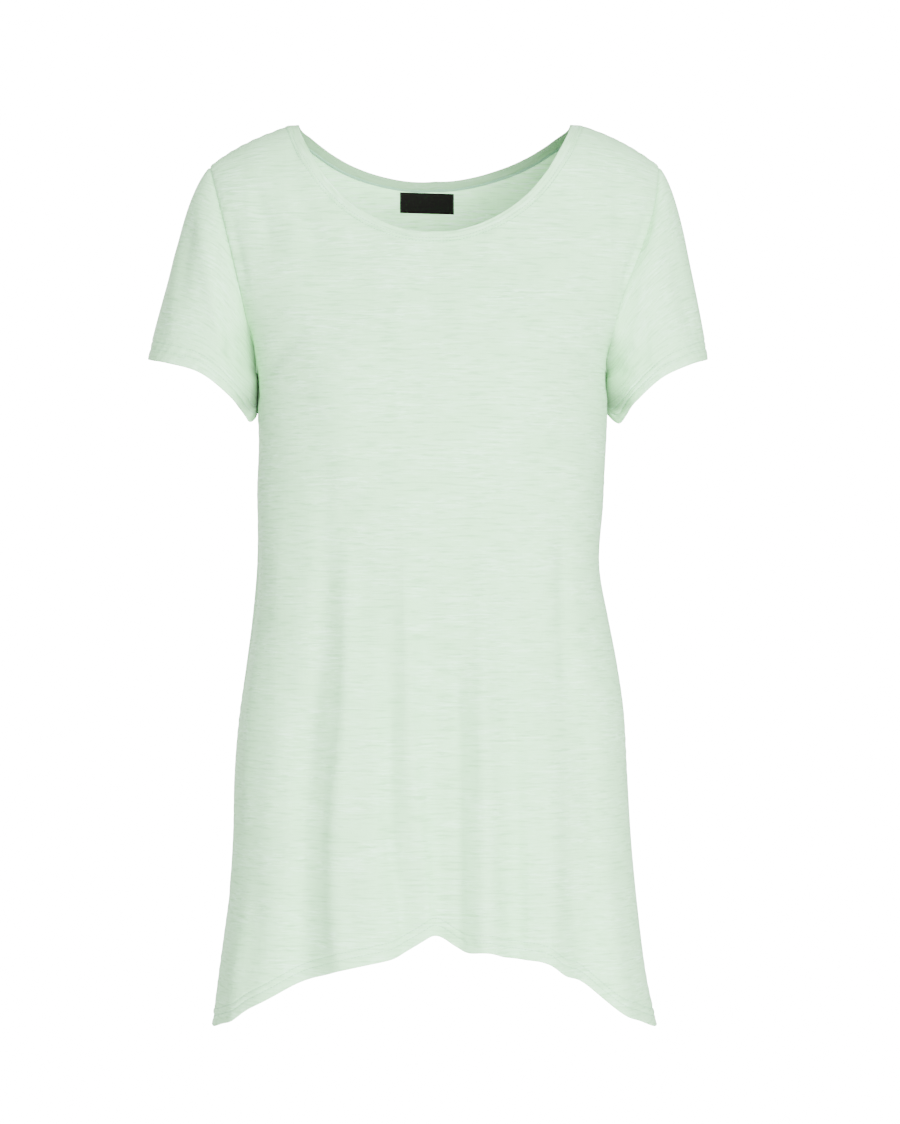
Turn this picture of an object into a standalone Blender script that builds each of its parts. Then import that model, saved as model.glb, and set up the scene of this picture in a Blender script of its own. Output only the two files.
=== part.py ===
"""A short-sleeved tunic t-shirt in light slub jersey, filled out and hollow, as it hangs on a general figure.

Cut pieces: a front, a back, two set-in sleeves, a narrow folded neck band, and a woven label inside the back neck.
+Z is up, -Y is the front, and "left" is -X, as seen from the front. Sizes are in millimetres until the last step.
The origin is where the shoulders hold the garment, level with the middles of the two shoulder seams.
"""

import math

import bmesh
import bpy
import numpy as np

METRES = 0.001

# Cloth
CLOTH = 1.0
HEM_CLOTH = 2.0
HEM_DEPTH = 18.0
HEM_STEP = 1.0
SEAM_GAP = 0.3

# Body rings from the shoulders down: half widths left and right of the centre line, depths before and behind it.
# Above the underarm the half widths are those of the whole chest, which the armholes cut back.
BODY_COLUMNS = ("z", "left", "right", "front", "back")
BODY_RINGS = np.array(
    (
        (-765.0, 194.0, 194.0, 124.0, 115.0),
        (-715.0, 187.5, 183.0, 122.0, 112.0),
        (-660.0, 179.5, 175.5, 120.0, 110.0),
        (-600.0, 175.5, 171.0, 118.0, 108.0),
        (-545.0, 174.0, 168.0, 117.0, 105.0),
        (-495.0, 170.0, 164.5, 115.0, 100.0),
        (-450.0, 164.0, 157.5, 113.0, 94.0),
        (-410.0, 159.0, 150.5, 111.0, 88.0),
        (-365.0, 155.0, 143.5, 111.0, 85.0),
        (-310.0, 153.5, 147.0, 113.0, 88.0),
        (-255.0, 152.7, 148.3, 116.0, 93.0),
        (-225.0, 154.2, 149.0, 116.2, 95.0),
        (-200.0, 154.0, 150.0, 116.0, 97.0),
        (-165.0, 164.0, 163.0, 111.0, 99.0),
        (-125.0, 180.0, 180.0, 100.0, 97.0),
        (-90.0, 194.0, 194.0, 87.0, 91.0),
        (-50.0, 202.0, 202.0, 71.0, 82.0),
        (20.0, 207.0, 207.0, 56.0, 64.0),
    )
)
RING_POWER = 2.4

# Fullness of the chest: each side of the centre line, half as wide as its spread
BUST_CENTRE = 80.0
BUST_HEIGHT = -192.0
BUST_SPREAD = 52.0
BUST_RISE = 7.0

# Shoulder crest: its height by distance from the centre line. The neck opening takes its inner part.
CREST_COLUMNS = ("x", "z")
CREST = np.array(
    (
        (0.0, 42.0),
        (60.0, 37.0),
        (100.0, 27.5),
        (121.0, 20.5),
        (157.0, 6.5),
        (171.0, -0.3),
        (185.0, -9.0),
        (196.0, -17.5),
        (210.0, -30.0),
    )
)
SHOULDER_ROUND = 60.0
SHOULDER_TIP = 196.0

# Neck edge: half width, and how far down the cloth it reaches from the crest on each face
NECK_HALF_WIDTH = 121.0
NECK_REACH = {"front": 156.0, "back": 99.0}
NECK_POWER = {"front": 1.12, "back": 1.12}
NECK_LEAN = {"front": 0.0, "back": 0.02}
BAND_WIDTH = 7.5
BAND_PROUD = 0.5

# Armholes: how the edge comes in from the shoulder tip to the underarm
UNDERARM = -200.0
ARMHOLE_COLUMNS = ("power", "curl")
ARMHOLES = {
    ("front", "left"): (1.2, 0.0),
    ("front", "right"): (1.0, 0.1),
    ("back", "left"): (1.0, 0.04),
    ("back", "right"): (1.0, 0.06),
}

# Hem: height at the centre front and how far the side seams hang below it
HEM_CENTRE = -694.0
HEM_DIP = 69.0
HEM_HALF_WIDTH = 193.0
HEM_POWER = 2.09

# Folds that fall from the chest to the hem: place across the hem, spread, rise (a trough is negative), the height
# where the fold begins, and how far it lifts the hem
FOLD_COLUMNS = ("x", "spread", "rise", "top", "lift")
FOLDS = {
    "front": (
        (-172.0, 9.0, 3.0, -600.0, -4.0),
        (-150.0, 16.0, 3.0, -380.0, -1.5),
        (-116.0, 19.0, -7.0, -330.0, 3.0),
        (-68.0, 26.0, 9.0, -300.0, 0.0),
        (1.0, 22.0, -10.0, -330.0, 18.0),
        (49.0, 18.0, 7.0, -300.0, 8.0),
        (72.0, 12.0, -3.0, -420.0, 3.0),
        (98.0, 24.0, 5.0, -340.0, 12.0),
        (136.0, 15.0, -6.0, -360.0, 10.0),
        (165.0, 11.0, 3.0, -600.0, -4.0),
    ),
    "back": (
        (-168.0, 11.0, 3.0, -600.0, -6.0),
        (-128.0, 20.0, -7.0, -380.0, 4.0),
        (-78.0, 24.0, 8.0, -340.0, 0.0),
        (-24.0, 20.0, -8.0, -330.0, 10.0),
        (30.0, 22.0, 8.0, -300.0, 0.0),
        (84.0, 22.0, -8.0, -350.0, 8.0),
        (130.0, 20.0, 6.0, -380.0, 0.0),
        (170.0, 11.0, 3.0, -600.0, -6.0),
    ),
}

# Cuff edge, from the underarm seam round the front to the outer edge and back: share of the way from the inner to
# the outer edge, depth and height. CUFF_UNDER is where each cuff tucks in beside the body, across and in height.
CUFF_INNER = 154.5
CUFF_OUTER = {"left": 249.5, "right": 238.0}
CUFF_COLUMNS = ("across", "y", "z")
CUFF_FRONT = np.array(
    (
        (0.00, 2.0, -231.0),
        (0.05, -17.0, -240.0),
        (0.21, -40.0, -220.0),
        (0.50, -51.0, -198.5),
        (0.80, -40.0, -190.0),
        (0.96, -17.0, -186.5),
        (1.00, 0.0, -185.0),
    )
)
CUFF_BACK = np.array(
    (
        (1.00, 0.0, -185.0),
        (0.95, 20.0, -184.0),
        (0.78, 40.0, -188.0),
        (0.48, 50.0, -200.0),
        (0.18, 38.0, -218.0),
        (0.03, 19.0, -228.0),
        (0.00, 2.0, -231.0),
    )
)
CUFF_SAG = {"left": 0.0, "right": 5.0}
CUFF_UNDER = {"left": (155.2, -231.0), "right": (149.9, -225.0)}
SLEEVE_BULGE = 6.5
CAP_BULGE = 4.0

# Woven label
LABEL_WIDTH = 48.0
LABEL_HEIGHT = 18.0
LABEL_CENTRE = -7.0
LABEL_BELOW_BAND = 0.8
LABEL_CLOTH = 1.0

# Grid of the cut pieces
COLUMNS = {"front": 40, "back": 32}
NECK_SHARE = {"front": 0.7, "back": 0.625}
UPPER_ROWS = 12
LOWER_ROWS = 14
ROW_POWER = 1.2
SLEEVE_ROWS = 7
LABEL_COLUMNS = 6
LABEL_ROWS = 2

MINT = (0.66, 0.79, 0.69)
BLACK = (0.02, 0.02, 0.018)


def smooth(stations, values, at):
    """A smooth curve through the values at rising stations."""
    slopes = np.gradient(values, stations)
    at = np.clip(at, stations[0], stations[-1])
    k = np.clip(np.searchsorted(stations, at) - 1, 0, len(stations) - 2)
    step = stations[k + 1] - stations[k]
    t = (at - stations[k]) / step
    start = values[k] * (1 + 2 * t) * (1 - t) ** 2 + slopes[k] * step * t * (1 - t) ** 2
    end = values[k + 1] * t**2 * (3 - 2 * t) + slopes[k + 1] * step * t**2 * (t - 1)
    return start + end


def ease(t):
    """0 to 1 with level ends."""
    t = np.clip(t, 0.0, 1.0)
    return t * t * (3 - 2 * t)


def ring(column, z):
    """A size of the body at a height."""
    return smooth(BODY_RINGS[:, 0], BODY_RINGS[:, BODY_COLUMNS.index(column)], z)


def half_width(x, z):
    return np.where(x < 0, ring("left", z), ring("right", z))


def outward(face):
    """The direction in which a face looks along Y."""
    return -1.0 if face == "front" else 1.0


def ring_depth(face, x, z):
    """How far a face of the body lies from the side seams."""
    across = np.clip(np.abs(x) / half_width(x, z), 0.0, 1.0)
    depth = ring(face, z)
    if face == "front":
        spread = (np.abs(x) - BUST_CENTRE) ** 2 + (z - BUST_HEIGHT) ** 2
        depth = depth + BUST_RISE * np.exp(-spread / BUST_SPREAD**2)
    return depth * (1 - across**RING_POWER) ** (1 / RING_POWER)


def crest(x):
    """Height of the shoulder crest."""
    return smooth(CREST[:, 0], CREST[:, 1], np.abs(x))


def chest_point(face, x, reach):
    """The outer face of the upper body, a length of cloth called reach down from the shoulder crest."""
    turn = np.minimum(reach / SHOULDER_ROUND, math.pi / 2)
    straight = np.maximum(reach - SHOULDER_ROUND * math.pi / 2, 0.0)
    z = crest(x) - SHOULDER_ROUND * (1 - np.cos(turn)) - straight
    y = outward(face) * ring_depth(face, x, z) * np.sin(turn)
    return np.stack([x, y, z], axis=-1)


def underarm_reach(x):
    """The reach at which the chest comes down to underarm height."""
    return SHOULDER_ROUND * (math.pi / 2 - 1) + crest(x) - UNDERARM


def armhole_x(face, side, reach):
    """Distance of an armhole edge from the centre line, by its reach."""
    foot = ring(side, UNDERARM)
    tip_z = crest(SHOULDER_TIP)
    power, curl = ARMHOLES[face, side]
    x = np.full_like(reach, SHOULDER_TIP)
    for _ in range(12):
        z = chest_point(face, x, reach)[..., 2]
        share = np.clip((z - UNDERARM) / (tip_z - UNDERARM), 0.0, 1.0)
        x = foot + (SHOULDER_TIP - foot) * (share**power - curl * np.sin(2 * math.pi * share))
    return x


def neck_edge(face, angle, inset):
    """Place on the neck edge, as distance across and reach, with the neck widened by inset."""
    x = (NECK_HALF_WIDTH + inset) * np.sin(angle)
    depth = np.abs(np.cos(angle)) ** NECK_POWER[face] * (1 - NECK_LEAN[face] * np.sin(2 * angle))
    return x, (NECK_REACH[face] + inset) * depth


def side_angle(share):
    """Angle round the body for a column, closer together at the centre than at the sides."""
    return math.pi / 2 * (0.7 * share + 0.3 * share**3)


def fold_sum(face, x, column, z=None):
    """The rise or the hem lift of all folds at a place across the hem."""
    total = np.zeros_like(x)
    for row in FOLDS[face]:
        fold = dict(zip(FOLD_COLUMNS, row))
        amount = fold[column] * np.exp(-(((x - fold["x"]) / fold["spread"]) ** 2))
        if z is not None:
            amount = amount * ease((fold["top"] - z) / (fold["top"] - HEM_CENTRE))
        total = total + amount
    return total


def hem_height(face, x):
    dip = HEM_DIP * (np.abs(x) / HEM_HALF_WIDTH) ** HEM_POWER
    return HEM_CENTRE - dip + fold_sum(face, x, "lift")


def skirt_point(face, angle, z):
    """The outer face of the body below the underarm, with its folds."""
    flat = np.sin(angle)
    x = flat * half_width(flat, z)
    y = outward(face) * ring_depth(face, x, z)
    hem_x = flat * HEM_HALF_WIDTH
    normal = np.stack(
        [
            np.sign(x) * np.abs(flat) ** (RING_POWER - 1) / half_width(flat, z),
            np.sign(y) * np.abs(y / ring(face, z)) ** (RING_POWER - 1) / ring(face, z),
        ]
    )
    rise = fold_sum(face, hem_x, "rise", z) * normal / np.linalg.norm(normal, axis=0)
    return np.stack([x + rise[0], y + rise[1], z], axis=-1)


def panel_grid(face):
    """Outer points and normals of a front or back, row by row from the neck and shoulders down, and each row's
    thickness."""
    share = np.linspace(-1.0, 1.0, COLUMNS[face] + 1)
    size = np.abs(share)
    neck = NECK_SHARE[face]
    angle = math.pi / 2 * np.clip(share / neck, -1.0, 1.0)
    neck_x, neck_reach = neck_edge(face, angle, BAND_WIDTH)
    neck_x = np.abs(neck_x)
    along = np.maximum(size - neck, 0.0) / (1 - neck)
    top_x = neck_x + (SHOULDER_TIP - NECK_HALF_WIDTH - BAND_WIDTH) * along
    top_reach = np.where(size < neck, neck_reach, 0.0)
    foot_share = np.abs(np.sin(side_angle(share)))
    sign = np.sign(share)
    rows, normals = [], []
    for q in np.linspace(0.0, 1.0, UPPER_ROWS + 1) ** ROW_POWER:
        edge_reach = q * underarm_reach(np.array([ring("left", UNDERARM), ring("right", UNDERARM)]))
        edges = [armhole_x(face, side, reach) for side, reach in zip(("left", "right"), edge_reach)]
        edge_x = np.where(sign < 0, edges[0], edges[1])
        spread = top_x / SHOULDER_TIP + (foot_share - top_x / SHOULDER_TIP) * q * (2 - q)
        x = sign * edge_x * spread
        foot_reach = underarm_reach(foot_share * half_width(share, UNDERARM))
        reach = top_reach + (foot_reach - top_reach) * q
        rows.append(chest_point(face, x, reach))
        normals.append(chest_normal(face, x, reach))
    hem = hem_height(face, np.sin(side_angle(share)) * HEM_HALF_WIDTH)
    fall = hem + HEM_DEPTH + HEM_STEP - UNDERARM
    for q in np.linspace(0.0, 1.0, LOWER_ROWS + 1)[1:]:
        rows.append(skirt_point(face, side_angle(share), UNDERARM + fall * q))
    rows.append(skirt_point(face, side_angle(share), hem + HEM_DEPTH))
    rows.append(skirt_point(face, side_angle(share), hem))
    thickness = [CLOTH] * (UPPER_ROWS + LOWER_ROWS + 1) + [HEM_CLOTH] * 2
    outer = np.array(rows)
    facing = grid_normals(outer, closed=False) * -outward(face)
    facing[: UPPER_ROWS + 1] = normals
    return outer, level_across_seams(face, facing), np.array(thickness)


def grid_normals(points, closed):
    """Unit normals of a grid of points, which look out of the garment."""
    down = np.gradient(points, axis=0)
    if closed:
        along = np.roll(points, -1, axis=1) - np.roll(points, 1, axis=1)
    else:
        along = np.gradient(points, axis=1)
    normals = np.cross(down, along)
    return normals / np.linalg.norm(normals, axis=-1, keepdims=True)


def level_across_seams(face, normals):
    """The normals at side and shoulder seams have no share of Y, so that front and back meet edge to edge."""
    share = np.abs(np.linspace(-1.0, 1.0, COLUMNS[face] + 1))
    seam = np.zeros(normals.shape[:2], bool)
    seam[0] = share >= NECK_SHARE[face]
    seam[UPPER_ROWS:, 0] = True
    seam[UPPER_ROWS:, -1] = True
    normals[seam, 1] = 0.0
    return normals / np.linalg.norm(normals, axis=-1, keepdims=True)


def cloth_material(name, colour, roughness):
    material = bpy.data.materials.new(name)
    material.use_nodes = True
    shader = material.node_tree.nodes["Principled BSDF"]
    shader.inputs["Base Color"].default_value = (*colour, 1.0)
    shader.inputs["Roughness"].default_value = roughness
    shader.inputs["Metallic"].default_value = 0.0
    return material


def add_object(name, mesh, material):
    mesh.to_mesh(data := bpy.data.meshes.new(name))
    mesh.free()
    data.materials.append(material)
    data.shade_smooth()
    data.set_sharp_from_angle(angle=math.radians(50.0))
    obj = bpy.data.objects.new(name, data)
    bpy.context.collection.objects.link(obj)
    return obj


def grid_faces(mesh, points, closed):
    """Adds a grid of quads and returns its vertices, row by row."""
    rows = [[mesh.verts.new(point * METRES) for point in row] for row in points]
    count = len(rows[0])
    for upper, lower in zip(rows, rows[1:]):
        for k in range(count if closed else count - 1):
            after = (k + 1) % count
            mesh.faces.new((upper[k], lower[k], lower[after], upper[after]))
    return rows


def add_cloth(name, outer, inner, material, closed=False):
    """A closed wall of cloth between a grid of outer points and the same grid moved inward."""
    mesh = bmesh.new()
    rows = grid_faces(mesh, outer, closed)
    index = {vert: place for place, vert in enumerate(v for row in rows for v in row)}
    goal = inner.reshape(-1, 3)
    grown = bmesh.ops.extrude_face_region(mesh, geom=list(mesh.faces), use_keep_orig=True)
    pairs = {}
    for vert, place in index.items():
        pairs[tuple(round(c, 7) for c in vert.co)] = place
    for vert in (g for g in grown["geom"] if isinstance(g, bmesh.types.BMVert)):
        vert.co = goal[pairs[tuple(round(c, 7) for c in vert.co)]] * METRES
    bmesh.ops.recalc_face_normals(mesh, faces=mesh.faces)
    return add_object(name, mesh, material)


def build_panel(face, material):
    outer, normals, thickness = panel_grid(face)
    inner = outer - normals * thickness[:, None, None]
    shift = np.array([0.0, outward(face) * SEAM_GAP / 2, 0.0])
    add_cloth(face, outer + shift, inner + shift, material)
    return outer + shift, normals


def armhole_loop(side, panels):
    """Points and normals of an armhole, from the underarm up the front edge and down the back edge."""
    column = 0 if side == "left" else -1
    points, normals = [], []
    for face in ("front", "back"):
        outer, facing = panels[face]
        rows = range(UPPER_ROWS, -1, -1) if face == "front" else range(UPPER_ROWS + 1)
        points.append(outer[list(rows), column])
        normals.append(facing[list(rows), column])
    front, back = points
    tip = (front[-1] + back[0]) / 2
    foot = (front[0] + back[-1]) / 2
    loop = np.vstack([foot, front[1:-1], tip, back[1:-1]])
    facing = np.vstack([normals[0][0], normals[0][1:-1], normals[0][-1], normals[1][1:-1]])
    return loop, facing


def cuff_loop(side, count):
    """Points of the cuff edge, as many and in the same order as the armhole's."""
    sign = -1.0 if side == "left" else 1.0
    loop = []
    for table in (CUFF_FRONT, CUFF_BACK):
        across = table[:, 0]
        x = sign * (CUFF_INNER + (CUFF_OUTER[side] - CUFF_INNER) * across)
        z = table[:, 2] - CUFF_SAG[side] * 6.75 * across * (1 - across) ** 2
        under = across == 0.0
        x[under], z[under] = sign * CUFF_UNDER[side][0], CUFF_UNDER[side][1]
        place = np.vstack([x, table[:, 1], z])
        steps = np.linalg.norm(np.diff(place, axis=1), axis=0)
        along = np.concatenate([[0.0], np.cumsum(steps)])
        at = np.linspace(0.0, along[-1], count // 2 + 1)[:-1]
        loop.append(np.stack([smooth(along, row, at) for row in place], axis=-1))
    return np.vstack(loop)


def sleeve_head(side, edge, facing, run):
    """First ring of a sleeve, a seam gap off the panels' edge, and its outward normals.

    Where the sleeve goes on from the panel it starts beside the edge, and where it folds down over the panel, as
    under the arm, it starts on the panel's outer face.
    """
    along = np.roll(edge, -1, axis=0) - np.roll(edge, 1, axis=0)
    away = np.cross(facing, along) * (1.0 if side == "left" else -1.0)
    away = away / np.linalg.norm(away, axis=1, keepdims=True)
    rise = np.arctan2(np.sum(run * facing, axis=1), np.sum(run * away, axis=1))[:, None]
    rise = np.where(rise < -math.pi / 2, rise + 2 * math.pi, rise)
    gap = np.clip(rise, 0.0, math.pi / 2)
    lean = np.maximum(rise, 0.0)
    start = edge + SEAM_GAP * (np.cos(gap) * away + np.sin(gap) * facing)
    return start, np.cos(lean) * facing - np.sin(lean) * away


def sleeve_grid(side, panels):
    """Outer points and normals of a sleeve from the armhole to the cuff, and the thickness of each row."""
    edge, facing = armhole_loop(side, panels)
    end = cuff_loop(side, len(edge))
    start, rim = sleeve_head(side, edge, facing, end - edge)
    run = end - start
    length = np.linalg.norm(run, axis=1, keepdims=True)
    middle = (start + end) / 2
    swell = middle - middle.mean(axis=0)
    swell = swell / np.linalg.norm(swell, axis=1, keepdims=True)
    top_share = ease((length - length.min()) / (length.max() - length.min()))
    shares = [q * (length - HEM_DEPTH - HEM_STEP) / length for q in np.linspace(0.0, 1.0, SLEEVE_ROWS + 1)]
    shares += [(length - HEM_DEPTH) / length, np.ones_like(length)]
    rows = []
    for t in shares:
        bulge = SLEEVE_BULGE * 4 * t * (1 - t) + CAP_BULGE * 12 * t * (1 - t) ** 4
        rows.append(start + run * t + bulge * top_share * swell)
    thickness = [CLOTH] * (SLEEVE_ROWS + 1) + [HEM_CLOTH] * 2
    outer = np.array(rows)
    normals = grid_normals(outer, closed=True) * (-1.0 if side == "left" else 1.0)
    normals[0] = rim
    return outer, normals, np.array(thickness)


def build_sleeve(side, panels, material):
    outer, normals, thickness = sleeve_grid(side, panels)
    inner = outer - normals * thickness[:, None, None]
    add_cloth("sleeve_" + side, outer, inner, material, closed=True)


def chest_normal(face, x, reach):
    """Outward normal of the upper body."""
    step = 0.5
    across = chest_point(face, x + step, reach) - chest_point(face, x - step, reach)
    down = chest_point(face, x, reach + step) - chest_point(face, x, np.maximum(reach - step, 0.0))
    normal = np.cross(across, down) * outward(face)
    return normal / np.linalg.norm(normal, axis=-1, keepdims=True)


def band_stations():
    """Face and neck angle of each station of the neck band, once round from the left neck point."""
    stations = []
    for face, sign in (("front", 1.0), ("back", -1.0)):
        count = round(COLUMNS[face] * NECK_SHARE[face])
        stations += [(face, sign * angle) for angle in np.linspace(-math.pi / 2, math.pi / 2, count + 1)[:-1]]
    return stations


def build_band(material):
    """Neck band: a folded strip whose lower edge meets the panels and whose fold is the neck edge."""
    mid = -CLOTH / 2
    half = CLOTH / 2 + BAND_PROUD
    section = (
        (SEAM_GAP, mid + half),
        (BAND_WIDTH * 0.5, mid + half),
        (BAND_WIDTH - 1.0, mid + half * 0.8),
        (BAND_WIDTH, mid),
        (BAND_WIDTH - 1.0, mid - half * 0.8),
        (BAND_WIDTH * 0.5, mid - half),
        (SEAM_GAP, mid - half),
    )
    mesh = bmesh.new()
    loops = []
    for face, angle in band_stations():
        loop = []
        for width, rise in section:
            x, reach = neck_edge(face, angle, BAND_WIDTH - width)
            place = chest_point(face, x, reach)
            normal = chest_normal(face, x, reach)
            if abs(abs(angle) - math.pi / 2) < 1e-6:
                normal = normal * np.array([1.0, 0.0, 1.0])
                normal = normal / np.linalg.norm(normal)
                place = place * np.array([1.0, 0.0, 1.0])
            loop.append(mesh.verts.new((place + normal * rise) * METRES))
        loops.append(loop)
    for loop, after in zip(loops, loops[1:] + loops[:1]):
        for k, vert in enumerate(loop):
            beside = (k + 1) % len(loop)
            mesh.faces.new((vert, after[k], after[beside], loop[beside]))
    bmesh.ops.recalc_face_normals(mesh, faces=mesh.faces)
    return add_object("neck_band", mesh, material)


def build_label(material):
    """Woven label on the inner face of the back, just under the neck band."""
    top = NECK_REACH["back"] + BAND_WIDTH + LABEL_BELOW_BAND
    across = LABEL_CENTRE + LABEL_WIDTH * np.linspace(-0.5, 0.5, LABEL_COLUMNS + 1)
    down = top + LABEL_HEIGHT * np.linspace(0.0, 1.0, LABEL_ROWS + 1)
    x, reach = np.meshgrid(across, down)
    face = chest_point("back", x, reach)
    inward = -chest_normal("back", x, reach)
    shift = np.array([0.0, SEAM_GAP / 2, 0.0])
    near = face + shift + inward * (CLOTH + SEAM_GAP)
    far = near + inward * LABEL_CLOTH
    return add_cloth("label", near, far, material)


def main():
    for obj in list(bpy.data.objects):
        bpy.data.objects.remove(obj)
    jersey = cloth_material("slub_jersey", MINT, 0.9)
    woven = cloth_material("label_weave", BLACK, 0.7)
    panels = {face: build_panel(face, jersey) for face in ("front", "back")}
    for side in ("left", "right"):
        build_sleeve(side, panels, jersey)
    build_band(jersey)
    build_label(woven)


main()
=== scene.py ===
"""Dresses the hollow t-shirt: thin jersey panels with their creases, set-in sleeves, a folded neck
band, a bare woven label and the sewing, on a plain stage.

Sizes in the tables are in millimetres and meshes are in metres. The front looks along -Y, and "left"
is -X, as seen from the front. The outer faces are those of the model's solids, on finer grids.
"""

import math
from collections import namedtuple
from functools import cache

import bmesh
import bpy
import numpy as np
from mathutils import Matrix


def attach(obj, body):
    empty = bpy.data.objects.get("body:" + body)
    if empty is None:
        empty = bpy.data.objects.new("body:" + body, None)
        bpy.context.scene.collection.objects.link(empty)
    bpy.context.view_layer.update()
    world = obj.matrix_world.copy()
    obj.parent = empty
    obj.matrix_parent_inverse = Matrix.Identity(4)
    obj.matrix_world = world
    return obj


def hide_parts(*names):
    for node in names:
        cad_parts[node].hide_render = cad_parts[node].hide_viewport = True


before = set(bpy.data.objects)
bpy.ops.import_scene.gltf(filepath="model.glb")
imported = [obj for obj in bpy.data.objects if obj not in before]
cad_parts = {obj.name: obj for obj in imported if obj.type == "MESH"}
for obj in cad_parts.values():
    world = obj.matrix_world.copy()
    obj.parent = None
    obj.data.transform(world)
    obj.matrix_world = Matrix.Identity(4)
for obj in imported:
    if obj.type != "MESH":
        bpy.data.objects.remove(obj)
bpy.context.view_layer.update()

bl_info = {
    "name": "Slub jersey t-shirt",
    "version": (1, 0, 0),
    "blender": (4, 5, 0),
    "location": "3D View > Sidebar > T-shirt",
    "description": "Builds the cloth, the label and the sewing of a hollow t-shirt, and a plain stage",
    "category": "Add Mesh",
}

METRES = 0.001

# Cloth
HEM_DEPTH = 18.0
SEAM_LAP = 0.35
SEAM_HOLD = 5.0
SIDE_SHIFT = -0.05

# Body rings: half widths left and right of the centre line, depths before and behind it
BODY_COLUMNS = ("z", "left", "right", "front", "back")
BODY_RINGS = np.array(
    (
        (-765.0, 194.0, 194.0, 124.0, 115.0),
        (-715.0, 187.5, 183.0, 122.0, 112.0),
        (-660.0, 179.5, 175.5, 120.0, 110.0),
        (-600.0, 175.5, 171.0, 118.0, 108.0),
        (-545.0, 174.0, 168.0, 117.0, 105.0),
        (-495.0, 170.0, 164.5, 115.0, 100.0),
        (-450.0, 164.0, 157.5, 113.0, 94.0),
        (-410.0, 159.0, 150.5, 111.0, 88.0),
        (-365.0, 155.0, 143.5, 111.0, 85.0),
        (-310.0, 153.5, 147.0, 113.0, 88.0),
        (-255.0, 152.7, 148.3, 116.0, 93.0),
        (-225.0, 154.2, 149.0, 116.2, 95.0),
        (-200.0, 154.0, 150.0, 116.0, 97.0),
        (-165.0, 164.0, 163.0, 111.0, 99.0),
        (-125.0, 180.0, 180.0, 100.0, 97.0),
        (-90.0, 194.0, 194.0, 87.0, 91.0),
        (-50.0, 202.0, 202.0, 71.0, 82.0),
        (20.0, 207.0, 207.0, 56.0, 64.0),
    )
)
RING_POWER = 2.4

# Fullness of the chest
BUST_CENTRE = 80.0
BUST_HEIGHT = -192.0
BUST_SPREAD = 52.0
BUST_RISE = 7.0

# Shoulder crest: height by distance from the centre line
CREST = np.array(
    (
        (0.0, 42.0),
        (60.0, 37.0),
        (100.0, 27.5),
        (121.0, 20.5),
        (157.0, 6.5),
        (171.0, -0.3),
        (185.0, -9.0),
        (196.0, -17.5),
        (210.0, -30.0),
    )
)
NECK_POINT_ROUND = 2.6
NECK_POINT_SPREAD = 6.5
NECK_POINT_SHIFT = 2.5
NECK_POINT_FLARE = 0.45
NECK_POINT_ANGLE = 0.25
SHOULDER_ROUND = 60.0
SHOULDER_TIP = 196.0

# Neck edge
NECK_HALF_WIDTH = 121.0
NECK_REACH = {"front": 156.0, "back": 99.0}
NECK_POWER = 1.12
NECK_LEAN = {"front": 0.0, "back": 0.02}
BAND_WIDTH = 7.5
BAND_PROUD = 0.5
BAND_MIDDLE = -0.5
BAND_BOW = 0.14
BAND_WAVE = 0.12
BAND_STRAIGHT_POINTS = 7
BAND_FOLD_POINTS = 9
BAND_STEPS = 200
BAND_CLOTH_SHARE = 0.8

# Armholes: the power and the curl of the curve for each face and side
UNDERARM = -200.0
ARMHOLES = {
    ("front", "left"): (1.2, 0.0),
    ("front", "right"): (1.0, 0.1),
    ("back", "left"): (1.0, 0.04),
    ("back", "right"): (1.0, 0.06),
}

# Hem
HEM_CENTRE = -694.0
HEM_DIP = 69.0
HEM_HALF_WIDTH = 193.0
HEM_POWER = 2.09

# Folds that fall from the chest to the hem, as in the solids
FOLD_COLUMNS = ("x", "spread", "rise", "top", "lift")
FOLDS = {
    "front": (
        (-172.0, 9.0, 3.0, -600.0, -4.0),
        (-150.0, 16.0, 3.0, -380.0, -1.5),
        (-116.0, 19.0, -7.0, -330.0, 3.0),
        (-68.0, 26.0, 9.0, -300.0, 0.0),
        (1.0, 22.0, -10.0, -330.0, 18.0),
        (49.0, 18.0, 7.0, -300.0, 8.0),
        (72.0, 12.0, -3.0, -420.0, 3.0),
        (98.0, 24.0, 5.0, -340.0, 12.0),
        (136.0, 15.0, -6.0, -360.0, 10.0),
        (165.0, 11.0, 3.0, -600.0, -4.0),
    ),
    "back": (
        (-168.0, 11.0, 3.0, -600.0, -6.0),
        (-128.0, 20.0, -7.0, -380.0, 4.0),
        (-78.0, 24.0, 8.0, -340.0, 0.0),
        (-24.0, 20.0, -8.0, -330.0, 10.0),
        (30.0, 22.0, 8.0, -300.0, 0.0),
        (84.0, 22.0, -8.0, -350.0, 8.0),
        (130.0, 20.0, 6.0, -380.0, 0.0),
        (170.0, 11.0, 3.0, -600.0, -6.0),
    ),
}

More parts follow.
